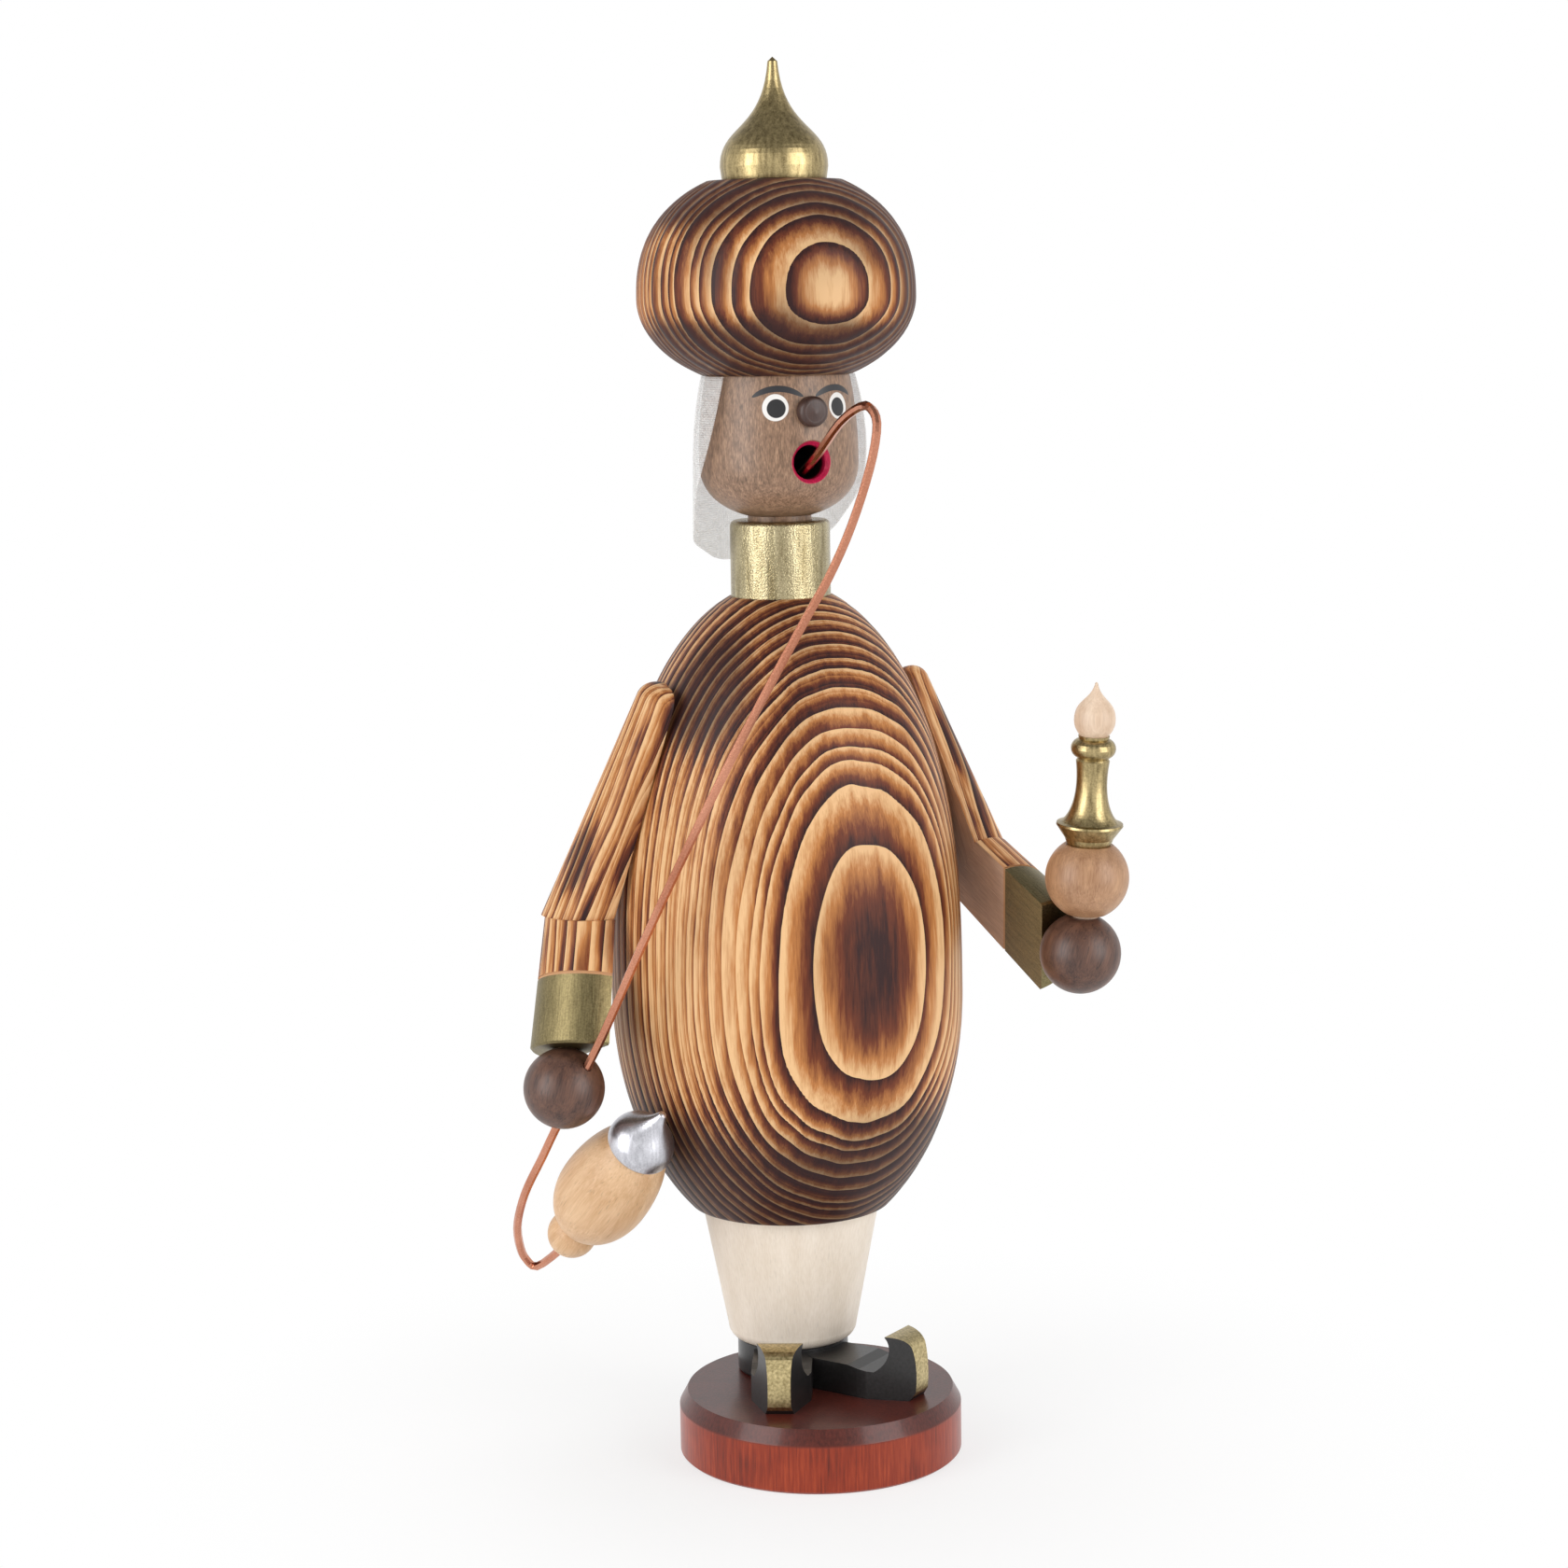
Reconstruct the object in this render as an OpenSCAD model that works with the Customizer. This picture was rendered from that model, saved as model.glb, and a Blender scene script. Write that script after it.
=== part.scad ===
// Turned wooden pipe smoker: a round figure with a turban that lifts off its trouser stand,
// so that an incense cone can burn inside the hollow body and smoke leaves through the mouth.
// The figure faces -Y and its left hand is on the +X side. The origin is the centre of the
// base disc's underside.

/* [Base] */
// Diameter of the base disc
base_d = 65; // [58:0.5:80]
// Height of the base disc
base_h = 14.5; // [12:0.5:20]
// Width of the bevel round the top of the base disc
base_bevel_w = 1.9; // [0.5:0.1:3]
// Height of the bevel round the top of the base disc
base_bevel_h = 3.5; // [0.5:0.1:5]
// Distance from the centre of the base disc back to the axis of the figure
figure_setback = 14.8; // [10:0.1:17]

/* [Shoes] */
// Diameter of the ankle block
ankle_d = 25.8; // [22:0.2:28]
// Height of the ankle block
ankle_h = 8; // [7.6:0.1:10]
// Width of a shoe
shoe_w = 13.7; // [12:0.1:15]
// Height of the curled toe
toe_h = 14.8; // [13:0.1:16]
// Height of the instep
instep_h = 7.3; // [6:0.1:7.5]
// Width that is left of the toe between its two side cuts
toe_strip_w = 4.7; // [3:0.1:6]
// Length of the side cuts of the toe
toe_cut_l = 11; // [9:0.5:14]
// Distance from the figure's axis to the right toe
right_reach = 35.4; // [32:0.2:39]
// Direction of the right toe from the figure's axis
right_toe_turn = 29.8; // [27:0.2:35]
// Angle between the right shoe and straight ahead
right_splay = 27; // [24:0.5:32]
// Distance from the figure's axis to the left toe
left_reach = 38.4; // [32:0.2:39]
// Direction of the left toe from the figure's axis
left_toe_turn = 25.5; // [24:0.2:32]
// Angle between the left shoe and straight ahead
left_splay = 32; // [28:0.5:34]

/* [Trousers] */
// Diameter of the trousers at their top
trousers_top_d = 41.4; // [38:0.2:46]
// Diameter of the trousers where the rounding at the hem begins
trousers_hem_d = 30; // [28:0.2:36]
// Height of the trousers
trousers_h = 32.7; // [26:0.1:45]
// Radius of the rounding at the hem
hem_round = 3.1; // [1:0.1:4]
// Diameter of the spigot that carries the figure
spigot_d = 29.4; // [24:0.2:32]
// Height of the spigot
spigot_h = 9; // [6:0.5:14]

/* [Incense dish] */
// Diameter of the flat of the dish
dish_d = 22; // [18:0.5:23]
// Height of the dish's rim
dish_rim_h = 2.2; // [1:0.1:4]
// Thickness of the sheet metal
sheet_t = 0.5; // [0.3:0.1:1]
// Diameter of the incense cone that the tongues hold
cone_d = 12; // [8:0.5:14]
// Height of the bent tongues
tongue_h = 3.5; // [2:0.5:6]

/* [Body] */
// Largest diameter of the body
body_d = 81; // [70:0.5:95]
// Height from the underside of the body to its widest place
body_low_h = 49.7; // [40:0.1:60]
// Height from the widest place of the body to its top
body_high_h = 91.4; // [75:0.1:110]
// Diameter of the flat underside of the body
body_foot_d = 46.5; // [42:0.5:52]
// Diameter of the flat top of the body
body_top_d = 23.6; // [22.8:0.1:30]
// Fullness of the upper half, where 2 is an ellipse
body_fullness = 2.56; // [2:0.02:3]
// Height of the wide smoke chamber inside
chamber_h = 96; // [60:1:105]
// Diameter of the air hole in the back
air_d = 6; // [4:0.5:8]
// Height of the air hole above the underside of the body
air_z = 17; // [16:0.5:30]

/* [Neck and head] */
// Diameter of the neck collar
collar_d = 22.7; // [20:0.1:26]
// Height of the neck collar
collar_h = 17.2; // [10:0.1:24]
// Rounding of the collar's top edge
collar_round = 1.3; // [0.5:0.1:3]
// Diameter of the ring between collar and head
neck_ring_d = 14.4; // [12:0.1:18]
// Height of the ring between collar and head
neck_ring_h = 1; // [0.5:0.1:3]
// Largest diameter of the head
head_d = 36; // [32:0.1:42]
// Height from the bottom of the head to its widest place
head_low_h = 12.6; // [10:0.1:16]
// Height from the widest place of the head to its top
head_high_h = 19.2; // [15:0.1:24]
// Diameter of the head at its top
head_top_d = 32.3; // [28:0.1:35]
// Diameter of the tenon under the head
tenon_d = 11; // [10:0.1:11.5]
// Diameter of the smoke channel
channel_d = 7; // [5:0.1:7.4]
// Diameter of the mouth hole
mouth_d = 7.7; // [6:0.1:9]
// Height of the mouth above the bottom of the head
mouth_z = 12.5; // [10:0.1:14]
// Width of the painted bevel round the mouth
lip_w = 0.8; // [0.4:0.1:1.5]
// Diameter of the nose
nose_d = 6.8; // [5:0.1:9]
// Height of the nose above the bottom of the head
nose_z = 23.7; // [21:0.1:25]
// How far the nose stands out of the face
nose_out = 2.6; // [1.5:0.1:4]

/* [Turban] */
// Largest diameter of the turban
turban_d = 62.8; // [54:0.2:72]
// Height from the bottom of the turban to its widest place
turban_low_h = 17.1; // [14:0.1:22]
// Height from the widest place of the turban to its top
turban_high_h = 25.8; // [20:0.1:30]
// Diameter of the flat bottom of the turban
turban_foot_d = 34; // [33.6:0.2:40]
// Diameter of the flat top of the turban
turban_top_d = 30.4; // [26:0.2:36]
// Diameter of the onion finial
finial_d = 24.2; // [20:0.2:25.8]
// Height of the onion finial
finial_h = 26.8; // [20:0.2:36]

/* [Veil] */
// Length of the veil at the middle of the back
veil_l = 43; // [36:0.5:45]
// Angle from straight back to the veil's front edges at its top
veil_angle = 112; // [104:1:120]
// Fullness of the veil's rounded outline, where 2 is an oval
veil_fullness = 2; // [1.8:0.1:2.6]
// How far the veil's front edges stand out from the head
veil_edge_out = 1.3; // [0.5:0.1:2]
// Depth of the veil's folds at its hem
fold_depth = 0.5; // [0.2:0.1:0.8]
// Number of folds on each side of the veil
fold_count = 3; // [2:1:4]
// Thickness of the veil
veil_t = 0.8; // [0.5:0.1:1]

/* [Arms] */
// Diameter of the turned arm at the shoulder
shoulder_d = 12.6; // [11:0.1:15]
// Diameter of the turned arm at the elbow
elbow_d = 22.6; // [20:0.1:24]
// Diameter of the turned arm at the end of the sleeve
sleeve_d = 25.2; // [23:0.1:27]
// Rounding of the arm's upper end
shoulder_round = 4; // [2:0.1:5]
// Angle between the plane of an arm and the vertical
arm_tilt = 14; // [10:0.5:18]
// Length of the right upper arm
right_upper_l = 56.2; // [50:0.1:60]
// Forward lean of the right upper arm
right_lean = -15.4; // [-20:0.1:-5]
// Bend of the right elbow
right_bend = 35.8; // [25:0.1:45]
// Angle by which the right elbow's cut falls away from the square
right_elbow_fall = 13; // [0:1:16]
// Length of the left upper arm
left_upper_l = 48.8; // [44:0.1:55]
// Forward lean of the left upper arm
left_lean = 12.2; // [6:0.1:18]
// Bend of the left elbow
left_bend = 53; // [40:0.1:60]
// Length of the right forearm
right_forearm_l = 32.4; // [29:0.1:38]
// Length of the left forearm
left_forearm_l = 34.2; // [30:0.1:38]
// Length of the gilded cuff
cuff_l = 16.4; // [10:0.1:20]
// Width of the scored line that ends the cuff
score_w = 0.6; // [0.3:0.1:1]
// Diameter of the shoulder dowels
dowel_d = 6; // [4:0.5:7]

/* [Hands] */
// Diameter of the hand balls
hand_d = 18.2; // [16:0.1:20]
// Diameter of the wrist pegs
peg_d = 4; // [3:0.1:5]
// Depth of the seat of a hand ball in the end of its sleeve
seat_depth = 0.4; // [0.3:0.1:1]
// Distance of the right hand's centre from the flat side of its sleeve
right_wrist_h = 5.2; // [4:0.1:7]
// Shift of the right hand towards the front edge of its sleeve
right_wrist_shift = 1; // [0:0.1:2]
// Distance of the left hand's centre from the flat side of its sleeve
left_wrist_h = 4.7; // [4:0.1:7]
// Shift of the left hand towards the front edge of its sleeve
left_wrist_shift = 2.7; // [0:0.1:3]

/* [Hose and pipe bowl] */
// Diameter of the copper wire
wire_d = 2; // [1.5:0.1:2.4]
// Diameter of the small bead behind the bowl
bead_d = 11.4; // [9:0.1:14]
// Diameter of the pipe bowl
bowl_d = 21.5; // [18:0.1:25]
// Length of the pipe bowl
bowl_l = 30.5; // [26:0.1:36]
// Diameter of the bowl's cap
cap_d = 15.4; // [14:0.1:18]
// Length of the bowl's cap
cap_l = 13; // [10:0.1:18]
// Angle of the bowl's axis above the horizontal
bowl_rise = 46; // [35:1:55]
// Turn of the bowl's axis from straight ahead towards the middle
bowl_turn = 19; // [10:1:25]

/* [Lamp] */
// Diameter of the lamp's ball
lamp_ball_d = 18.7; // [17:0.1:22]
// Diameter of the flared foot of the lamp's stem
lamp_flare_d = 14.9; // [12:0.1:18]
// Height of the lamp's stem
lamp_stem_h = 24.6; // [20:0.1:30]
// Diameter of the waist of the lamp's stem
lamp_waist_d = 6; // [5:0.1:8]
// Diameter of the knob at the top of the lamp's stem
lamp_knob_d = 10; // [8:0.1:13]
// Diameter of the lamp's flame
flame_d = 9.2; // [7:0.1:12]
// Height of the lamp's flame
flame_h = 12; // [9:0.1:16]
// Outward lean of the lamp
lamp_lean = 1; // [0:0.5:6]
// Forward lean of the lamp
lamp_nod = 4; // [2:0.5:8]
// Outward shift of the lamp on the hand
lamp_shift = 0.8; // [0:0.1:1.5]

/* [Fits] */
// Radial clearance of the figure on the spigot
spigot_gap = 0.3; // [0.2:0.05:0.6]
// Radial gap for glue round dowels, pegs and tenons
glue_gap = 0.1; // [0.05:0.01:0.2]
// Gap between cloth and the wood beside it
cloth_gap = 0.4; // [0.3:0.05:0.8]

/* [Hidden] */
$fn = 96;
// Overshoot of a cutting shape past the face that it cuts
cut = 0.5;
// Points on one stretch of a turned profile
profile_steps = 20;

// Heights of the pieces that stand on each other
ankle_z = base_h;
trousers_z = ankle_z + ankle_h;
body_z = trousers_z + trousers_h;
body_wide_z = body_z + body_low_h;
body_top_z = body_wide_z + body_high_h;
collar_top_z = body_top_z + collar_h;
head_z = collar_top_z + neck_ring_h;
head_wide_z = head_z + head_low_h;
head_top_z = head_wide_z + head_high_h;
turban_wide_z = head_top_z + turban_low_h;
turban_top_z = turban_wide_z + turban_high_h;

// Profile of one half of a turned egg: the radius falls from rmax to rend over the height h
function end_reach(rmax, rend, h, fullness) = h / pow(1 - pow(rend / rmax, 2), 1 / fullness);
function egg_r(rmax, reach, fullness, dz) = rmax * sqrt(1 - pow(dz / reach, fullness));
function egg_points(rmax, rend, h, fullness, z0, dir, steps = profile_steps) =
    let (reach = end_reach(rmax, rend, h, fullness))
    [for (i = [0 : steps]) let (dz = h * sin(90 * i / steps))
        [egg_r(rmax, reach, fullness, dz), z0 + dir * dz]];
function reversed(list) = [for (i = [len(list) - 1 : -1 : 0]) list[i]];
function arc_points(c, r, a0, a1, steps = 8) =
    [for (i = [0 : steps]) let (a = a0 + (a1 - a0) * i / steps) c + r * [cos(a), sin(a)]];
function bezier(a, b, c, d, steps = profile_steps) =
    [for (i = [0 : steps]) let (t = i / steps, s = 1 - t)
        s * s * s * a + 3 * s * s * t * b + 3 * s * t * t * c + t * t * t * d];

// Onion outline from its widest place, r wide at height z, up to its point at height tip_z
function onion_points(r, z, tip_z, tip_r) =
    bezier([r, z], [r, z + (tip_z - z) * 0.41], [r * 0.2, z + (tip_z - z) * 0.33], [tip_r, tip_z]);

module turned(points) rotate_extrude() polygon(points);

module on_figure_axis() translate([0, figure_setback, 0]) children();

module bore(d, z0, z1) translate([0, 0, z0]) cylinder(d = d, h = z1 - z0);

// Base disc with its shoe and ankle seats
dowel_stand_d = 10;
dowel_stand_sink = 9;
dowel_stand_rise = 14;

module base_disc() {
    r = base_d / 2;
    edge = 0.5;
    color("sienna") difference() {
        turned([[0, 0], [r - edge, 0], [r, edge], [r, base_h - base_bevel_h],
                [r - base_bevel_w, base_h], [0, base_h]]);
        on_figure_axis()
            bore(dowel_stand_d + 2 * glue_gap, base_h - dowel_stand_sink - glue_gap, base_h + cut);
    }
}

module stand_dowel() {
    color("burlywood") on_figure_axis()
        bore(dowel_stand_d, base_h - dowel_stand_sink, trousers_z + dowel_stand_rise);
}

ankle_round = 0.8;

module ankle_block() {
    r = ankle_d / 2;
    color("black") on_figure_axis() difference() {
        turned(concat([[0, ankle_z]],
                      arc_points([r - ankle_round, ankle_z + ankle_round], ankle_round, -90, 0),
                      [[r, trousers_z], [0, trousers_z]]));
        bore(dowel_stand_d + 2 * glue_gap, ankle_z - cut, trousers_z + cut);
    }
}

// A shoe is the side profile, sawn from a board, with its toe cut narrower from both sides.
// The front of the toe is at x = 0 and the heel lies towards -x
shoe_l = 34;
shoe_gap = 0.1;
// Place of the seam between the two shoes
shoe_seam_x = -2.8;

function shoe_profile() = concat(
    [[-shoe_l, 0], [-1.7, 0]],
    bezier([-0.3, 2], [0.1, 5], [0.1, toe_h - 5], [-1.1, toe_h - 2], 10),
    bezier([-1.2, toe_h - 1.9], [-2.3, toe_h - 0.4], [-4.4, toe_h], [-6.9, toe_h], 8),
    bezier([-6.85, toe_h - 0.2], [-5.4, toe_h - 1.8], [-5.3, instep_h + 1.6],
           [-9.3, instep_h - 0.9], 12),
    [[-13, instep_h - 0.6], [-16, instep_h], [-shoe_l, instep_h]]);

module shoe() {
    half_w = shoe_w / 2;
    half_strip = toe_strip_w / 2;
    plan = [[-shoe_l, -half_w], [-toe_cut_l, -half_w], [cut, -half_strip],
            [cut, half_strip], [-toe_cut_l, half_w], [-shoe_l, half_w]];
    intersection() {
        rotate([90, 0, 0]) translate([0, 0, -half_w]) linear_extrude(shoe_w)
            polygon(shoe_profile());
        linear_extrude(toe_h * 1.1) polygon(plan);
    }
}

module placed_shoe(side, reach, turn, splay) {
    far = 2 * shoe_l;
    color("black") difference() {
        translate([side * reach * sin(turn), figure_setback - reach * cos(turn), base_h])
            rotate([0, 0, side * splay - 90]) shoe();
        on_figure_axis() bore(ankle_d + 2 * glue_gap, base_h - cut, trousers_z + cut);
        translate([side > 0 ? shoe_seam_x + shoe_gap / 2 - far : shoe_seam_x - shoe_gap / 2,
                   -far, base_h - cut])
            cube([far, 2 * far, toe_h + 1]);
        translate([-far, figure_setback, base_h - cut]) cube([2 * far, far, toe_h]);
    }
}

module right_shoe() placed_shoe(-1, right_reach, right_toe_turn, right_splay);

module left_shoe() placed_shoe(1, left_reach, left_toe_turn, left_splay);

// Trousers with the spigot on top
module trousers() {
    hem_r = trousers_hem_d / 2;
    top_r = trousers_top_d / 2;
    spigot_edge = 0.8;
    color("bisque") on_figure_axis() difference() {
        turned(concat([[0, trousers_z]],
                      arc_points([hem_r - hem_round, trousers_z + hem_round], hem_round, -90, 0),
                      [[top_r, body_z], [spigot_d / 2, body_z],
                       [spigot_d / 2, body_z + spigot_h - spigot_edge],
                       [spigot_d / 2 - spigot_edge, body_z + spigot_h], [0, body_z + spigot_h]]));
        bore(dowel_stand_d + 2 * glue_gap, trousers_z - cut,
             trousers_z + dowel_stand_rise + glue_gap);
        bore(nail_d, body_z + spigot_h - nail_l, body_z + spigot_h + cut);
    }
}

// Pressed dish with three bent tongues that hold the incense cone
nail_d = 1.6;
nail_l = 8;
nail_head_d = 3.6;
nail_head_h = 0.6;
tongue_w = 3;
tongue_count = 3;
dish_z = body_z + spigot_h;

module incense_dish() {
    r = dish_d / 2;
    flare = 1;
    color("silver") on_figure_axis() difference() {
        union() {
            turned([[0, dish_z], [r, dish_z], [r + flare, dish_z + dish_rim_h],
                    [r + flare - sheet_t, dish_z + dish_rim_h], [r - sheet_t, dish_z + sheet_t],
                    [0, dish_z + sheet_t]]);
            for (i = [0 : tongue_count - 1]) rotate([0, 0, 90 + i * 360 / tongue_count])
                translate([cone_d / 2, -tongue_w / 2, dish_z])
                    cube([sheet_t, tongue_w, sheet_t + tongue_h]);
        }
        bore(nail_d, dish_z - cut, dish_z + cut + sheet_t);
    }
}

module dish_nail() {
    color("silver") on_figure_axis() {
        bore(nail_d, dish_z - nail_l, dish_z + sheet_t);
        bore(nail_head_d, dish_z + sheet_t, dish_z + sheet_t + nail_head_h);
    }
}

// Hollow body: spigot bore and smoke chamber below, narrow channel above
chamber_d = spigot_d + 2 * spigot_gap;
chamber_taper_h = 12;
tenon_sink = 9;
air_back = body_d / 2 + cut;

// The arms lie on planes that touch the body at the shoulders, a little below its surface
spot_depth = 0.4;
upper_reach = end_reach(body_d / 2, body_top_d / 2, body_high_h, body_fullness);
function body_r_above(dz) = egg_r(body_d / 2, upper_reach, body_fullness, dz);
touch_steps = 400;
touch_list = [for (i = [0 : touch_steps]) let (dz = body_high_h * i / touch_steps)
    body_r_above(dz) * cos(arm_tilt) + dz * sin(arm_tilt)];
touch_i = search(max(touch_list), touch_list)[0];
touch_dz = body_high_h * touch_i / touch_steps;
touch_x = body_r_above(touch_dz) - spot_depth * cos(arm_tilt);
touch_z = body_wide_z + touch_dz - spot_depth * sin(arm_tilt);

// Local frame of an arm: x forward, y down along the arm's plane, z out of the body
module arm_frame(side) {
    module left_frame() translate([touch_x, figure_setback, touch_z])
        rotate([0, 90 - arm_tilt, 0]) rotate([0, 0, -90]) children();
    if (side > 0) left_frame() children();
    else mirror([1, 0, 0]) left_frame() children();
}

function arm_point(side, p) = [side * touch_x, figure_setback, touch_z] + p[0] * [0, -1, 0]
    + p[1] * [side * sin(arm_tilt), 0, -cos(arm_tilt)]
    + p[2] * [side * cos(arm_tilt), 0, sin(arm_tilt)];

dowel_body_sink = 11;
dowel_arm_sink = 4.5;

module shoulder_dowel(side) {
    color("burlywood") arm_frame(side)
        translate([0, 0, -dowel_body_sink]) cylinder(d = dowel_d, h = dowel_body_sink + dowel_arm_sink);
}

module right_shoulder_dowel() shoulder_dowel(-1);

module left_shoulder_dowel() shoulder_dowel(1);

module body_shell() {
    spot_size = body_d;
    color("peru") difference() {
        on_figure_axis() turned(concat(
            [[0, body_z]],
            reversed(egg_points(body_d / 2, body_foot_d / 2, body_low_h, 2.04, body_wide_z, -1)),
            egg_points(body_d / 2, body_top_d / 2, body_high_h, body_fullness, body_wide_z, 1),
            [[0, body_top_z]]));
        on_figure_axis() {
            turned([[0, body_z - cut], [chamber_d / 2, body_z - cut],
                    [chamber_d / 2, body_z + chamber_h - chamber_taper_h],
                    [channel_d / 2, body_z + chamber_h], [0, body_z + chamber_h]]);
            bore(channel_d, body_z, body_top_z);
            bore(tenon_d + 2 * glue_gap, body_top_z - tenon_sink - glue_gap, body_top_z + cut);
            translate([0, 0, body_z + air_z]) rotate([-90, 0, 0])
                cylinder(d = air_d, h = air_back);
        }
        for (side = [-1, 1]) arm_frame(side) {
            translate([-spot_size / 2, -spot_size / 2, 0]) cube([spot_size, spot_size, spot_size]);
            translate([0, 0, -dowel_body_sink - glue_gap])
                cylinder(d = dowel_d + 2 * glue_gap, h = dowel_body_sink + 2 * glue_gap);
        }
    }
}

// Collar, head and face
module neck_collar() {
    r = collar_d / 2;
    color("goldenrod") on_figure_axis() difference() {
        turned(concat([[0, body_top_z], [r, body_top_z]],
                      arc_points([r - collar_round, collar_top_z - collar_round], collar_round, 0, 90),
                      [[0, collar_top_z]]));
        bore(tenon_d + 2 * glue_gap, body_top_z - cut, collar_top_z + cut);
    }
}

turban_dowel_d = 8;
turban_dowel_sink = 8;
turban_dowel_rise = 14;
nose_peg_d = 3;
nose_peg_l = 4;
mouth_at = [0, figure_setback - head_d / 2, head_z + mouth_z];
head_fullness = 2.5;
head_reach = end_reach(head_d / 2, head_top_d / 2, head_high_h, 2);
nose_face_r = egg_r(head_d / 2, head_reach, 2, nose_z - head_low_h);

module head() {
    r = head_d / 2;
    color("saddlebrown") difference() {
        on_figure_axis() turned(concat(
            [[0, body_top_z - tenon_sink], [tenon_d / 2, body_top_z - tenon_sink],
             [tenon_d / 2, collar_top_z], [neck_ring_d / 2, collar_top_z],
             [neck_ring_d / 2, head_z]],
            reversed(egg_points(r, neck_ring_d / 2, head_low_h, head_fullness, head_wide_z, -1)),
            egg_points(r, head_top_d / 2, head_high_h, 2, head_wide_z, 1),
            [[0, head_top_z]]));
        on_figure_axis() {
            bore(channel_d, body_top_z - tenon_sink - cut, mouth_at[2]);
            bore(turban_dowel_d + 2 * glue_gap, head_top_z - turban_dowel_sink - glue_gap,
                 head_top_z + cut);
        }
        translate([0, figure_setback, mouth_at[2]]) rotate([90, 0, 0]) {
            cylinder(d = mouth_d, h = head_d);
            translate([0, 0, r - 2 * lip_w])
                cylinder(d1 = mouth_d, d2 = mouth_d + 4 * lip_w, h = 2 * lip_w + cut);
        }
        translate([0, figure_setback - nose_face_r, head_z + nose_z]) rotate([-90, 0, 0])
            translate([0, 0, -cut])
                cylinder(d = nose_peg_d + 2 * glue_gap, h = nose_peg_l + glue_gap + cut);
    }
}

module nose() {
    r = nose_d / 2;
    dome = 1.2;
    color("saddlebrown") difference() {
        translate([0, figure_setback - nose_face_r, head_z + nose_z]) rotate([90, 0, 0])
            turned(concat([[0, -nose_peg_l], [nose_peg_d / 2, -nose_peg_l], [nose_peg_d / 2, 0],
                           [r, 0]],
                          arc_points([r - dome, nose_out - dome], dome, 0, 90),
                          [[0, nose_out + dome * 0.4]]));
        on_figure_axis() difference() {
            turned(concat([[0, head_wide_z]],
                          egg_points(head_d / 2 + glue_gap, head_top_d / 2 + glue_gap,
                                     head_high_h, 2, head_wide_z, 1),
                          [[0, head_top_z]]));
            translate([0, -head_d / 2, nose_z + head_z]) rotate([90, 0, 0])
                cylinder(d = nose_peg_d, h = head_d, center = true);
        }
    }
}

// Turban, its dowel and the onion on top
finial_tenon_d = 5;
finial_tenon_l = 8;
finial_wide_h = 2.8;
finial_foot_in = 0.4;

module turban_dowel() {
    color("burlywood") on_figure_axis()
        bore(turban_dowel_d, head_top_z - turban_dowel_sink, head_top_z + turban_dowel_rise);
}

module turban() {
    color("peru") on_figure_axis() difference() {
        turned(concat(
            [[0, head_top_z]],
            reversed(egg_points(turban_d / 2, turban_foot_d / 2, turban_low_h, 1.98, turban_wide_z, -1)),
            egg_points(turban_d / 2, turban_top_d / 2, turban_high_h, 2.38, turban_wide_z, 1),
            [[0, turban_top_z]]));
        bore(turban_dowel_d + 2 * glue_gap, head_top_z - cut,
             head_top_z + turban_dowel_rise + glue_gap);
        bore(finial_tenon_d + 2 * glue_gap, turban_top_z - finial_tenon_l - glue_gap,
             turban_top_z + cut);
    }
}

module turban_finial() {
    r = finial_d / 2;
    color("goldenrod") on_figure_axis() turned(concat(
        [[0, turban_top_z - finial_tenon_l], [finial_tenon_d / 2, turban_top_z - finial_tenon_l],
         [finial_tenon_d / 2, turban_top_z], [r - finial_foot_in, turban_top_z]],
        onion_points(r, turban_top_z + finial_wide_h, turban_top_z + finial_h - 1, 1.1),
        [[0, turban_top_z + finial_h]]));
}

// Veil: hanging cloth round the back of the head. Its outline is half of an oval, so the front
// edges run back and down to a round hem
veil_cols = 36;
veil_rows = 12;
veil_top_z = head_top_z - cloth_gap;
// Share of the oval's height at which the hem is cut level
veil_end = 0.988;

function veil_edge(k) = veil_angle * sqrt(1 - pow(k, veil_fullness));
function veil_r(k) = cloth_gap
    + egg_r(head_d / 2, head_reach, 2, max(0, head_high_h - cloth_gap - veil_l * k));

function veil_point(u, k, out) =
    let (a = veil_edge(k) * u,
         fold = fold_depth * k * (1 - cos(fold_count * a * 360 / veil_angle)),
         lift = veil_edge_out * pow(abs(u), 3) * sin(180 * min(1, k + 0.1)),
         r = veil_r(k) + fold + lift + out)
    [r * sin(a), figure_setback + r * cos(a), veil_top_z - veil_l * k];

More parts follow.
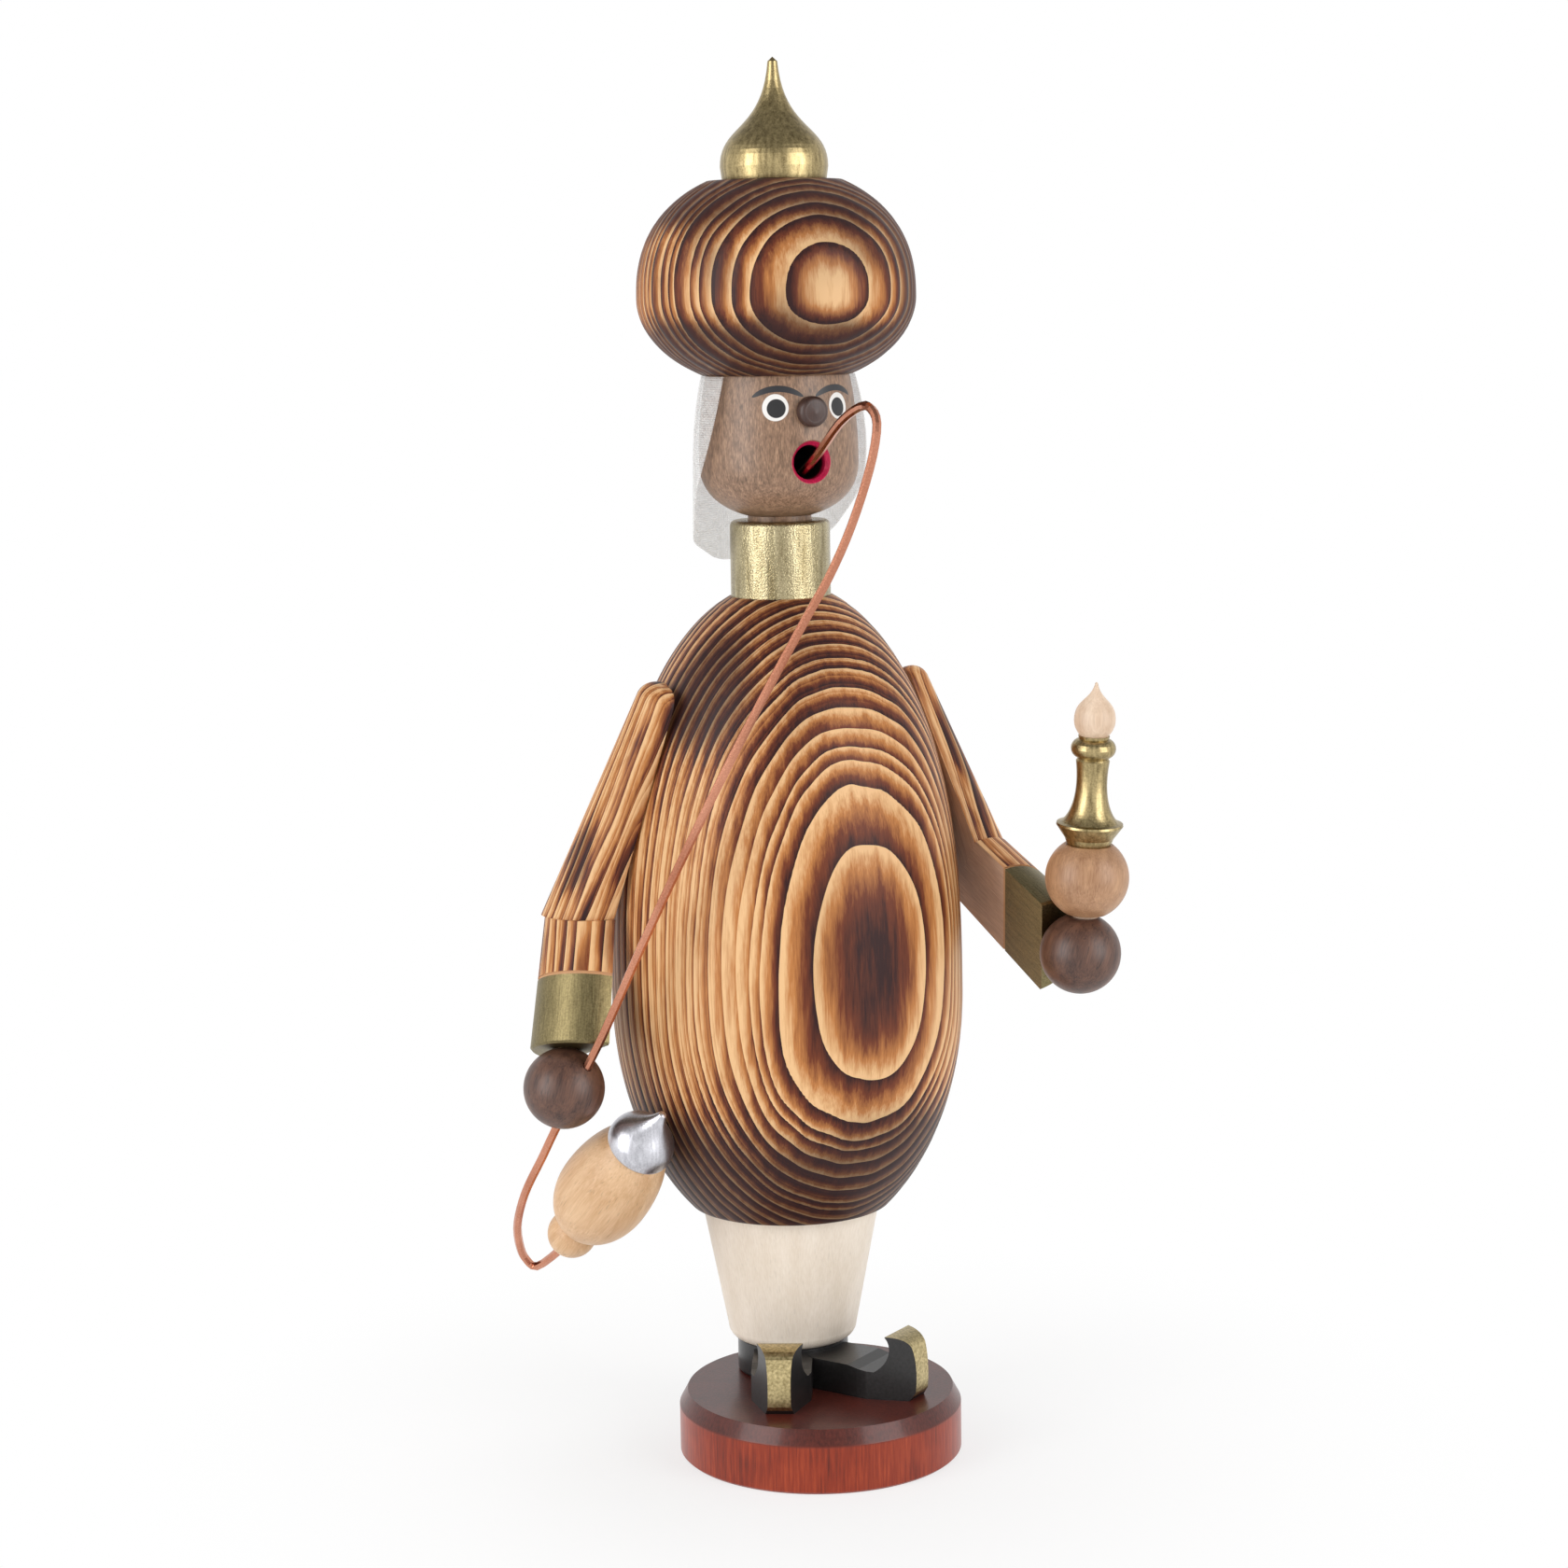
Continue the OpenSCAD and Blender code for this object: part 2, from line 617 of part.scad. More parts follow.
module veil() {
    side_points = function(out) [for (i = [0 : veil_cols]) for (j = [0 : veil_rows])
        veil_point(2 * i / veil_cols - 1, veil_end * sin(90 * j / veil_rows), out)];
    points = concat(side_points(0), side_points(veil_t));
    n = (veil_cols + 1) * (veil_rows + 1);
    id = function(i, j, s) s * n + i * (veil_rows + 1) + j;
    quad = function(a, b, c, d) [[a, b, c], [a, c, d]];
    inner = [for (i = [0 : veil_cols - 1]) for (j = [0 : veil_rows - 1])
        for (f = quad(id(i, j, 0), id(i, j + 1, 0), id(i + 1, j + 1, 0), id(i + 1, j, 0))) f];
    outer = [for (i = [0 : veil_cols - 1]) for (j = [0 : veil_rows - 1])
        for (f = quad(id(i, j, 1), id(i + 1, j, 1), id(i + 1, j + 1, 1), id(i, j + 1, 1))) f];
    rims = [for (i = [0 : veil_cols - 1]) for (f = concat(
        quad(id(i, 0, 0), id(i + 1, 0, 0), id(i + 1, 0, 1), id(i, 0, 1)),
        quad(id(i, veil_rows, 0), id(i, veil_rows, 1), id(i + 1, veil_rows, 1),
             id(i + 1, veil_rows, 0)))) f];
    ends = [for (j = [0 : veil_rows - 1]) for (f = concat(
        quad(id(0, j, 0), id(0, j, 1), id(0, j + 1, 1), id(0, j + 1, 0)),
        quad(id(veil_cols, j, 0), id(veil_cols, j + 1, 0), id(veil_cols, j + 1, 1),
             id(veil_cols, j, 1)))) f];
    color("white") polyhedron(points = points, faces = concat(inner, outer, rims, ends));
}

// Arms: halves of a turned cone, mitred at the elbow. Each piece's own axis is its local y
function shoulder_at(side) = side > 0 ? [-2.2, -20.3] : [5.3, -20.8];
function upper_l(side) = side > 0 ? left_upper_l : right_upper_l;
function forearm_l(side) = side > 0 ? left_forearm_l : right_forearm_l;
function lean(side) = side > 0 ? left_lean : right_lean;
function bend(side) = side > 0 ? left_bend : right_bend;
function elbow_fall(side) = side > 0 ? 0 : right_elbow_fall;
function elbow(side) = shoulder_at(side) + upper_l(side) * [sin(lean(side)), cos(lean(side))];

module half_turned(points) intersection() {
    rotate([-90, 0, 0]) turned(points);
    half_block = 4 * sleeve_d;
    translate([-sleeve_d, -half_block, 0]) cube([2 * sleeve_d, 2 * half_block, sleeve_d]);
}

// Half plane on the near side of the elbow's mitre, cut for the upper arm or for the forearm
module mitre_block(side, dir) {
    w = sleeve_d;
    k = w * tan(bend(side) / 2);
    far = -dir * 3 * w;
    rotate(a = -elbow_fall(side), v = [cos(bend(side) / 2), -dir * sin(bend(side) / 2), 0])
        translate([0, 0, -w]) linear_extrude(2 * w)
            polygon([[-w, dir * k], [w, -dir * k], [w, far], [-w, far]]);
}

module upper_frame(side) arm_frame(side) translate(elbow(side)) rotate([0, 0, -lean(side)])
    children();

module upper_arm(side) {
    l = upper_l(side);
    r = shoulder_d / 2;
    slope = (elbow_d - shoulder_d) / 2 / l;
    past = elbow_d / 2;
    color("peru") difference() {
        upper_frame(side) intersection() {
            half_turned(concat(
                [[0, -l]],
                arc_points([r - shoulder_round, shoulder_round - l], shoulder_round, -90, 0),
                [[elbow_d / 2 + slope * past, past], [0, past]]));
            mitre_block(side, 1);
        }
        arm_frame(side) translate([0, 0, -glue_gap])
            cylinder(d = dowel_d + 2 * glue_gap, h = dowel_arm_sink + 2 * glue_gap);
    }
}

peg_sleeve_sink = 8;
peg_hand_sink = 5;
score_depth = 0.3;
cuff_edge = 0.5;

module forearm_frame(side) arm_frame(side) translate(elbow(side))
    rotate([0, 0, -lean(side) - bend(side)]) children();

function forearm_point(side, x, y, z) =
    let (a = lean(side) + bend(side), e = elbow(side))
    arm_point(side, [e[0] + x * cos(a) + y * sin(a), e[1] - x * sin(a) + y * cos(a), z]);

// Distance from the end of the sleeve to the centre of the hand ball
hand_out = hand_d / 2 - seat_depth;

function wrist_h(side) = side > 0 ? left_wrist_h : right_wrist_h;
function wrist_shift(side) = side > 0 ? left_wrist_shift : right_wrist_shift;
function hand_at(side) =
    forearm_point(side, wrist_shift(side), forearm_l(side) + hand_out, wrist_h(side));

module forearm(side) {
    l = forearm_l(side);
    slope = (sleeve_d - elbow_d) / 2 / l;
    past = elbow_d / 2;
    score_y = l - cuff_l;
    score_r = elbow_d / 2 + slope * score_y;
    color("peru") difference() {
        forearm_frame(side) difference() {
            intersection() {
                half_turned([[0, -past], [elbow_d / 2 - slope * past, -past],
                             [sleeve_d / 2 - slope * cuff_edge, l - cuff_edge],
                             [sleeve_d / 2 - cuff_edge, l], [0, l]]);
                mitre_block(side, -1);
            }
            rotate([-90, 0, 0])
                turned([[score_r - score_depth, score_y], [score_r + cut, score_y],
                        [score_r + cut, score_y + score_w],
                        [score_r - score_depth, score_y + score_w]]);
            translate([wrist_shift(side), l + hand_out, wrist_h(side)]) {
                sphere(d = hand_d + 2 * glue_gap);
                rotate([90, 0, 0])
                    cylinder(d = peg_d + 2 * glue_gap, h = hand_out + peg_sleeve_sink + glue_gap);
            }
        }
        // Hollow in the left sleeve's end, in which the lamp's ball rests
        if (side > 0) lamp_frame() translate([0, 0, lamp_ball_z])
            sphere(d = lamp_ball_d + 2 * glue_gap);
    }
}

module wrist_peg(side) {
    color("burlywood") forearm_frame(side)
        translate([wrist_shift(side), forearm_l(side) - peg_sleeve_sink, wrist_h(side)])
            rotate([-90, 0, 0])
            cylinder(d = peg_d, h = peg_sleeve_sink + peg_hand_sink - seat_depth);
}

module peg_hole(side) forearm_frame(side)
    translate([wrist_shift(side), forearm_l(side) - cut - seat_depth, wrist_h(side)])
        rotate([-90, 0, 0])
        cylinder(d = peg_d + 2 * glue_gap, h = cut + peg_hand_sink + glue_gap);

module right_upper_arm() upper_arm(-1);

module left_upper_arm() upper_arm(1);

module right_forearm() forearm(-1);

module left_forearm() forearm(1);

module right_wrist_peg() wrist_peg(-1);

module left_wrist_peg() wrist_peg(1);

// Right hand, drilled for the hose wire
wire_in = [3.5, -6.5, 6.5];
wire_out = [-1.5, 2.5, -10];

module along(a, b) {
    v = b - a;
    translate(a) rotate([0, acos(v[2] / norm(v)), atan2(v[1], v[0])]) children();
}

module right_hand() {
    color("saddlebrown") difference() {
        translate(hand_at(-1)) difference() {
            sphere(d = hand_d);
            along(wire_out, wire_in) translate([0, 0, -hand_d])
                cylinder(d = wire_d + 2 * glue_gap, h = 3 * hand_d);
        }
        peg_hole(-1);
    }
}

// Left hand with the lamp standing on it
lamp_flat = 8.4;
lamp_neck_h = 0.8;
lamp_ball_flat = 8.1;
lamp_ball_top = 7.6;
lamp_peg_d = 5.6;
lamp_peg_sink = 5;
stem_foot_r = 4.9;
stem_tenon_d = 4;
stem_tenon_l = 5;
lamp_ball_z = lamp_flat + lamp_neck_h + lamp_ball_flat;
stem_z = lamp_ball_z + lamp_ball_top;
flame_z = stem_z + lamp_stem_h;

module lamp_frame() translate(hand_at(1) + [lamp_shift, 0, 0]) rotate([lamp_nod, lamp_lean, 0])
    children();

module left_hand() {
    color("saddlebrown") difference() {
        translate(hand_at(1)) sphere(d = hand_d);
        lamp_frame() {
            bore(hand_d, lamp_flat, hand_d);
            bore(lamp_peg_d + 2 * glue_gap, lamp_flat - lamp_peg_sink - glue_gap, hand_d);
        }
        peg_hole(1);
    }
}

module lamp_peg() {
    color("burlywood") lamp_frame()
        bore(lamp_peg_d, lamp_flat - lamp_peg_sink, lamp_flat + lamp_neck_h + lamp_peg_sink);
}

module lamp_ball() {
    r = lamp_ball_d / 2;
    color("tan") lamp_frame() difference() {
        translate([0, 0, lamp_ball_z]) sphere(r);
        bore(2 * r, 0, lamp_ball_z - lamp_ball_flat);
        bore(2 * r, stem_z, stem_z + r);
        bore(lamp_peg_d + 2 * glue_gap, 0, lamp_flat + lamp_neck_h + lamp_peg_sink + glue_gap);
        bore(stem_tenon_d + 2 * glue_gap, stem_z - stem_tenon_l - glue_gap, stem_z + cut);
    }
}

flame_tenon_d = 3;
flame_tenon_l = 5;
flame_foot_r = 3.2;

module lamp_stem() {
    h = lamp_stem_h;
    flare_r = lamp_flare_d / 2;
    waist_r = lamp_waist_d / 2;
    knob_r = lamp_knob_d / 2;
    knob_z = stem_z + 0.885 * h;
    knob_round = 0.09 * h;
    color("goldenrod") lamp_frame() difference() {
        turned(concat(
            [[0, stem_z - stem_tenon_l], [stem_tenon_d / 2, stem_z - stem_tenon_l],
             [stem_tenon_d / 2, stem_z], [stem_foot_r, stem_z],
             [stem_foot_r + 0.5, stem_z + 0.06 * h], [flare_r, stem_z + 0.18 * h],
             [flare_r - 0.1, stem_z + 0.2 * h]],
            bezier([flare_r * 0.85, stem_z + 0.21 * h], [waist_r * 1.43, stem_z + 0.285 * h],
                   [waist_r * 0.9, stem_z + 0.467 * h], [waist_r * 1.25, stem_z + 0.772 * h], 14),
            arc_points([knob_r - knob_round, knob_z], knob_round, -75, 75, 10),
            [[flame_foot_r + 0.3, flame_z], [0, flame_z]]));
        bore(flame_tenon_d + 2 * glue_gap, flame_z - flame_tenon_l - glue_gap, flame_z + cut);
    }
}

module lamp_flame() {
    r = flame_d / 2;
    wide_z = flame_z + 0.29 * flame_h;
    color("wheat") lamp_frame() turned(concat(
        [[0, flame_z - flame_tenon_l], [flame_tenon_d / 2, flame_z - flame_tenon_l],
         [flame_tenon_d / 2, flame_z], [flame_foot_r, flame_z]],
        bezier([flame_foot_r + 0.1, flame_z + 0.2], [r * 0.86, flame_z + 0.08 * flame_h],
               [r, flame_z + 0.18 * flame_h], [r, wide_z], 8),
        bezier([r, wide_z + 0.1], [r, wide_z + 0.38 * flame_h], [r * 0.24, wide_z + 0.36 * flame_h],
               [0.3, flame_z + flame_h - 0.2]),
        [[0, flame_z + flame_h]]));
}

// Hose wire: up and out of the mouth, down past the belly, through the right hand and round
// into the bead behind the pipe bowl
hose_from_mouth = [[0, 6.5, -2.7], [-0.5, 3.5, -2], [-0.5, -5.5, 3], [-1, -17, 9.5],
                   [-0.5, -26, 13], [-0.5, -31, 12.5], [-0.5, -33.5, 9.5], [-2, -34.5, 3],
                   [-4.5, -34, -5.5], [-7.5, -32.5, -14.5], [-11, -30.5, -23], [-14.5, -28.5, -30]];
// Shares of the run between mouth and hand where the wire is held, and its bow outwards
hose_run = [0.2, 0.4, 0.6, 0.8];
hose_bow = [-2.2, -1, 0];
hose_from_hand = [[6, -11, 15], wire_in, wire_out, [-3, 7, -17]];
hose_to_bead = [[-11.5, -3, 13.5], [-11.5, 2.5, 7], [-10.5, 8, 0.5], [-8.5, 12, -5.5],
                [-6.5, 14, -9], [-4, 13.5, -11]];
wire_end_in_bowl = 8;
// The bowl hangs beside the low half of the body, so its height is counted from the waist
bead_below_waist = 53.9856;
bead_from_hand = [7, 16];

bowl_axis = [sin(bowl_turn) * cos(bowl_rise), -cos(bowl_turn) * cos(bowl_rise), sin(bowl_rise)];
bead_at = [hand_at(-1)[0] + bead_from_hand[0], hand_at(-1)[1] + bead_from_hand[1],
           body_wide_z - bead_below_waist];
// Places along the bowl's axis, counted from the centre of the bead
bowl_s = 3.6;
cap_s = bowl_s + bowl_l;
run_end = hand_at(-1) + hose_from_hand[0];
run_start = mouth_at + hose_from_mouth[11];

route = concat(
    [for (p = hose_from_mouth) mouth_at + p],
    [for (q = hose_run) run_start + (run_end - run_start) * q + hose_bow * 4 * q * (1 - q)],
    [for (p = hose_from_hand) hand_at(-1) + p],
    [for (p = hose_to_bead) bead_at + p],
    [bead_at - 7.5 * bowl_axis, bead_at - 3 * bowl_axis, bead_at + 3 * bowl_axis,
     bead_at + (bowl_s + wire_end_in_bowl) * bowl_axis]);

// Smooth curve through the route's points
function catmull(p0, p1, p2, p3, t) = 0.5 * (2 * p1 + (p2 - p0) * t
    + (2 * p0 - 5 * p1 + 4 * p2 - p3) * t * t + (3 * p1 - p0 - 3 * p2 + p3) * t * t * t);
wire_cuts = 3;
route_end = len(route) - 1;
wire_path = [for (i = [0 : route_end - 1]) for (k = [0 : wire_cuts - 1])
    catmull(route[max(i - 1, 0)], route[i], route[i + 1], route[min(i + 2, route_end)],
            k / wire_cuts)];
wire_line = concat(wire_path, [route[route_end]]);

function unit(v) = v / norm(v);
function tangent(list, i) = unit(list[min(i + 1, len(list) - 1)] - list[max(i - 1, 0)]);
// Each ring's side direction is the last one's, made square to the new tangent
function side_dirs(list, i, last) = i >= len(list) ? [] :
    let (t = tangent(list, i), s = unit(last - (last * t) * t))
    concat([s], side_dirs(list, i + 1, s));

module swept_tube(list, d, sides) {
    s = side_dirs(list, 0, [1, 0, 0]);
    points = [for (i = [0 : len(list) - 1]) let (b = cross(tangent(list, i), s[i]))
        for (k = [0 : sides - 1]) let (a = 360 * k / sides)
            list[i] + d / 2 * (cos(a) * s[i] + sin(a) * b)];
    walls = [for (i = [0 : len(list) - 2]) for (k = [0 : sides - 1])
        let (a = i * sides + k, b = i * sides + (k + 1) % sides)
        for (f = [[a, b + sides, b], [a, a + sides, b + sides]]) f];
    caps = [[for (k = [0 : sides - 1]) k],
            [for (k = [sides - 1 : -1 : 0]) (len(list) - 1) * sides + k]];
    polyhedron(points = points, faces = concat(walls, caps));
}

module hose_wire() color("chocolate") swept_tube(wire_line, wire_d, 8);

module bowl_frame() along(bead_at, bead_at + bowl_axis) children();

module pipe_bead() {
    color("burlywood") bowl_frame() difference() {
        sphere(d = bead_d);
        bore(bead_d, bowl_s, bead_d);
        bore(wire_d + 2 * glue_gap, -bead_d, bead_d);
    }
}

cap_tenon_d = 5;
cap_tenon_l = 6;
cap_seat_r = cap_d / 2 - 0.5;

module pipe_bowl() {
    r = bowl_d / 2;
    foot_r = bead_d / 2 - 0.8;
    low_h = bowl_l * 0.46;
    color("burlywood") bowl_frame() difference() {
        turned(concat([[0, bowl_s]],
                      reversed(egg_points(r, foot_r, low_h, 2.1, bowl_s + low_h, -1)),
                      egg_points(r, cap_seat_r, bowl_l - low_h, 2, bowl_s + low_h, 1),
                      [[0, cap_s]]));
        bore(wire_d + 2 * glue_gap, 0, bowl_s + wire_end_in_bowl + glue_gap);
        bore(cap_tenon_d + 2 * glue_gap, cap_s - cap_tenon_l - glue_gap, cap_s + cut);
    }
}

module bowl_cap() {
    r = cap_d / 2;
    edge = 0.9;
    color("silver") bowl_frame() turned(concat(
        [[0, cap_s - cap_tenon_l], [cap_tenon_d / 2, cap_s - cap_tenon_l],
         [cap_tenon_d / 2, cap_s]],
        arc_points([r - edge, cap_s + edge], edge, -90, 0, 6),
        bezier([r, cap_s + edge + 0.6], [r, cap_s + 0.5 * cap_l], [r * 0.36, cap_s + 0.54 * cap_l],
               [0.9, cap_s + cap_l - 0.3]),
        [[0, cap_s + cap_l]]));
}

base_disc();
stand_dowel();
ankle_block();
right_shoe();
left_shoe();
trousers();
incense_dish();
dish_nail();
body_shell();
neck_collar();
head();
nose();
turban_dowel();
turban();
turban_finial();
veil();
right_shoulder_dowel();
right_upper_arm();
right_forearm();
right_wrist_peg();
right_hand();
left_shoulder_dowel();
left_upper_arm();
left_forearm();
left_wrist_peg();
left_hand();
lamp_peg();
lamp_ball();
lamp_stem();
lamp_flame();
hose_wire();
pipe_bead();
pipe_bowl();
bowl_cap();
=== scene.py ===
# %% [markdown]
# # A turned wooden pipe smoker
# This lesson dresses the imported model of a wooden incense smoker. The model is the fixed frame:
# its pieces stay where they are and get their wood, paint, cloth and metal here. The first cell
# loads it, moves each piece's place into its mesh and removes the empties that held them.

# %% Load the frame
import math

import bmesh
import bpy
from mathutils import Euler, Matrix, Vector, noise


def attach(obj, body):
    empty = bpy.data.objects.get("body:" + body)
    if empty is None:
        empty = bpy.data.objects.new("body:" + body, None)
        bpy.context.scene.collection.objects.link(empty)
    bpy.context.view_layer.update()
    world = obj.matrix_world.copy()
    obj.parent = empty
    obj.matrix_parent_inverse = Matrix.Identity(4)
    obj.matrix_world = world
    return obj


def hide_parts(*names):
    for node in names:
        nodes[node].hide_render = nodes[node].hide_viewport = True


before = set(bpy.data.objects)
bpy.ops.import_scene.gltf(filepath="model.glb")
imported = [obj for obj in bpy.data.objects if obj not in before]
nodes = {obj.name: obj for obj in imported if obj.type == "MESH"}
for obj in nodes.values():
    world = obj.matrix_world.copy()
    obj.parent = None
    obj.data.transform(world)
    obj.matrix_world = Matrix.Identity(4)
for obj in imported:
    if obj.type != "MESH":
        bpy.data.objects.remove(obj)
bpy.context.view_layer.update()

MM = 0.001  # places and lengths are written in millimetres
AXIS_Y = 14.8  # the figure's upright axis stands this far behind the origin
print("pieces in the frame:", len(nodes))

# %% [markdown]
# ## Camera
# The camera stands where the photographer stood: to the figure's right and as high as its
# turban, with a long lens that looks down a little. It is turned by bearing and pitch first, and
# the small roll of the picture comes last.

# %% Camera
azimuth, pitch, roll = math.radians(-24.4), math.radians(8.5), math.radians(-0.93)
camera_distance, camera_height = 740, 264
to_camera = Vector((math.sin(azimuth), -math.cos(azimuth), 0))
camera_at = Vector((0, AXIS_Y, camera_height)) + to_camera * camera_distance
turn = Euler((math.pi / 2 - pitch, 0, azimuth)).to_matrix() @ Matrix.Rotation(roll, 3, "Z")
camera = bpy.data.objects.new("camera", bpy.data.cameras.new("camera"))
camera.matrix_world = Matrix.Translation(camera_at * MM) @ turn.to_4x4()
camera.data.lens = 75
camera.data.sensor_width = 36
camera.data.clip_start = 0.01
camera.data.shift_y = -0.0014
bpy.context.scene.collection.objects.link(camera)
bpy.context.scene.camera = camera
print("camera at", [round(c) for c in camera_at], "mm")

# %% [markdown]
# ## Light and floor
# The object stands on a white table between two large soft boxes, which give the two soft
# highlights on every round piece. A third one above lights the tops and the table, and is hidden
# from the polished pieces, so that they keep their dark tops. Lights are placed in metres.

# %% Lights
def soft_box(name, bearing, height, distance, size, radiance):
    """A lit rectangle that faces the figure. The bearing is 0 in front, and grows to its left."""
    around = math.radians(bearing)
    middle = Vector((0, AXIS_Y * MM, 0.15))
    sideways = Vector((math.sin(around), -math.cos(around), 0))
    place = middle + sideways * distance + Vector((0, 0, height))
    light = bpy.data.lights.new(name, "AREA")
    light.shape, light.size, light.size_y = "RECTANGLE", size[0], size[1]
    light.energy = radiance * math.pi * size[0] * size[1]
    lamp = bpy.data.objects.new(name, light)
    lamp.matrix_world = (Matrix.Translation(place)
                         @ (middle - place).to_track_quat("-Z", "Y").to_matrix().to_4x4())
    bpy.context.scene.collection.objects.link(lamp)
    print(name, "at", [round(c, 2) for c in place])
    return lamp


soft_box("soft_box_left", -78, 0.22, 1.0, (0.6, 1.0), 3.8)
soft_box("soft_box_right", 30, 0.22, 1.0, (0.6, 1.0), 3.4)
above = soft_box("soft_box_above", 150, 1.1, 0.3, (1.0, 1.0), 2.2)
above.visible_glossy = False

# %% Floor
FLOOR_RADIUS = 12  # metres, so that its edge is out of sight

floor_mesh = bmesh.new()
bmesh.ops.create_circle(floor_mesh, cap_ends=True, radius=FLOOR_RADIUS, segments=64)
floor_data = bpy.data.meshes.new("floor")
floor_mesh.to_mesh(floor_data)
floor_mesh.free()
floor = bpy.data.objects.new("floor", floor_data)
bpy.context.scene.collection.objects.link(floor)
bpy.context.scene.view_settings.view_transform = "Standard"
print("floor reaches", FLOOR_RADIUS, "m each way")

# %% [markdown]
# ## Small tools for finishes
# A finish is a little recipe of nodes: numbers made from the place on the object. These helpers
# add one node each and hand back its output, so that a recipe reads like arithmetic. Places are
# in millimetres.

# %% Node helpers
def srgb(red, green, blue):
    """A colour as it is picked from a screen, turned into light values."""
    return tuple(((c / 255 + 0.055) / 1.055) ** 2.4 if c > 10 else c / 3294.6
                 for c in (red, green, blue)) + (1,)


def new_finish(name, **plain):
    """A material with those plain values; _ stands for a space in the name of a socket."""
    finish = bpy.data.materials.new(name)
    finish.use_nodes = True
    shader = finish.node_tree.nodes["Principled BSDF"]
    for socket, value in plain.items():
        shader.inputs[socket.replace("_", " ")].default_value = value
    return finish, finish.node_tree, shader


def feed(tree, socket, value):
    """Links another node's output to the socket, or sets the socket to a plain value."""
    if isinstance(value, bpy.types.NodeSocket):
        tree.links.new(value, socket)
    else:
        socket.default_value = value


def num(tree, operation, *values, clamp=False):
    node = tree.nodes.new("ShaderNodeMath")
    node.operation, node.use_clamp = operation, clamp
    for socket, value in zip(node.inputs, values):
        feed(tree, socket, value)
    return node.outputs[0]


def dot(tree, place, direction):
    node = tree.nodes.new("ShaderNodeVectorMath")
    node.operation = "DOT_PRODUCT"
    feed(tree, node.inputs[0], place)
    node.inputs[1].default_value = direction
    return node.outputs["Value"]


def rise(tree, value, low, high):
    """0 below low, 1 above high, smooth between them."""
    node = tree.nodes.new("ShaderNodeMapRange")
    node.interpolation_type = "SMOOTHSTEP"
    feed(tree, node.inputs["Value"], value)
    node.inputs["From Min"].default_value = low
    node.inputs["From Max"].default_value = high
    return node.outputs["Result"]


def mixed(tree, share, first, second):
    """The second colour laid over the first by the share, from 0 to 1."""
    node = tree.nodes.new("ShaderNodeMix")
    node.data_type = "RGBA"
    for socket, value in ((node.inputs[0], share), (node.inputs[6], first),
                          (node.inputs[7], second)):
        feed(tree, socket, value)
    return node.outputs[2]


def ramp(tree, value, stops):
    """A colour for the value, from (value, colour) stops."""
    node = tree.nodes.new("ShaderNodeValToRGB")
    while len(node.color_ramp.elements) < len(stops):
        node.color_ramp.elements.new(0.5)
    for element, (position, colour) in zip(node.color_ramp.elements, stops):
        element.position, element.color = position, colour
    feed(tree, node.inputs["Fac"], value)
    return node.outputs["Color"]


def cloud(tree, place, size, detail=2.0, rough=0.5):
    """Soft noise from 0 to 1 with spots of about that size in millimetres."""
    node = tree.nodes.new("ShaderNodeTexNoise")
    node.inputs["Scale"].default_value = 1 / size
    node.inputs["Detail"].default_value = detail
    node.inputs["Roughness"].default_value = rough
    feed(tree, node.inputs["Vector"], place)
    return node.outputs["Fac"]


def place_mm(tree):
    """The place on the object in millimetres."""
    coordinates = tree.nodes.new("ShaderNodeTexCoord")
    node = tree.nodes.new("ShaderNodeVectorMath")
    node.operation = "SCALE"
    node.inputs["Scale"].default_value = 1000
    feed(tree, node.inputs[0], coordinates.outputs["Object"])
    return node.outputs[0]


def surface_normal(tree):
    return tree.nodes.new("ShaderNodeTexCoord").outputs["Normal"]


def grain_place(tree, along=(0, 0, 1), stretch=10):
    """The place turned so that Z runs along the grain, and drawn out along it."""
    node = tree.nodes.new("ShaderNodeMapping")
    node.vector_type = "TEXTURE"
    node.inputs["Rotation"].default_value = Vector(along).to_track_quat("Z", "Y").to_euler()
    node.inputs["Scale"].default_value = (1, 1, stretch)
    feed(tree, node.inputs["Vector"], place_mm(tree))
    return node.outputs[0]


def raise_by(tree, shader, height, distance, strength=0.5):
    """Bump: the height, from 0 to 1, stands for that many millimetres."""
    node = tree.nodes.new("ShaderNodeBump")
    node.inputs["Strength"].default_value = strength
    node.inputs["Distance"].default_value = distance * MM
    feed(tree, node.inputs["Height"], height)
    tree.links.new(node.outputs["Normal"], shader.inputs["Normal"])


def wear(finish, *names):
    """The pieces of the frame with those names get the finish."""
    for name in names:
        piece = nodes[name]
        piece.data.materials.clear()
        piece.data.materials.append(finish)
    print(finish.name, "on", ", ".join(names))


# %% [markdown]
# ## White backdrop
# The white behind the object is not light. Light Path tells which rays only look: straight from
# the camera, off a polished piece or through a clear one. Those rays see a white wall, and the
# metal also sees a darker ceiling above it. Every other ray, which carries light, sees a dim
# room. The table does the same: it is its own white to light, and partly plain white paper to the
# eye, more so farther off, so the shadow stays where the object stands.

# %% World
ROOM = 0.34  # the room's light, where the wall that is looked at is 1


def looking(tree):
    """1 for a ray straight from the camera, and 1 for one that is mirrored or passes through."""
    path = tree.nodes.new("ShaderNodeLightPath")
    return path.outputs["Is Camera Ray"], num(
        tree, "MAXIMUM", path.outputs["Is Glossy Ray"], path.outputs["Is Transmission Ray"])


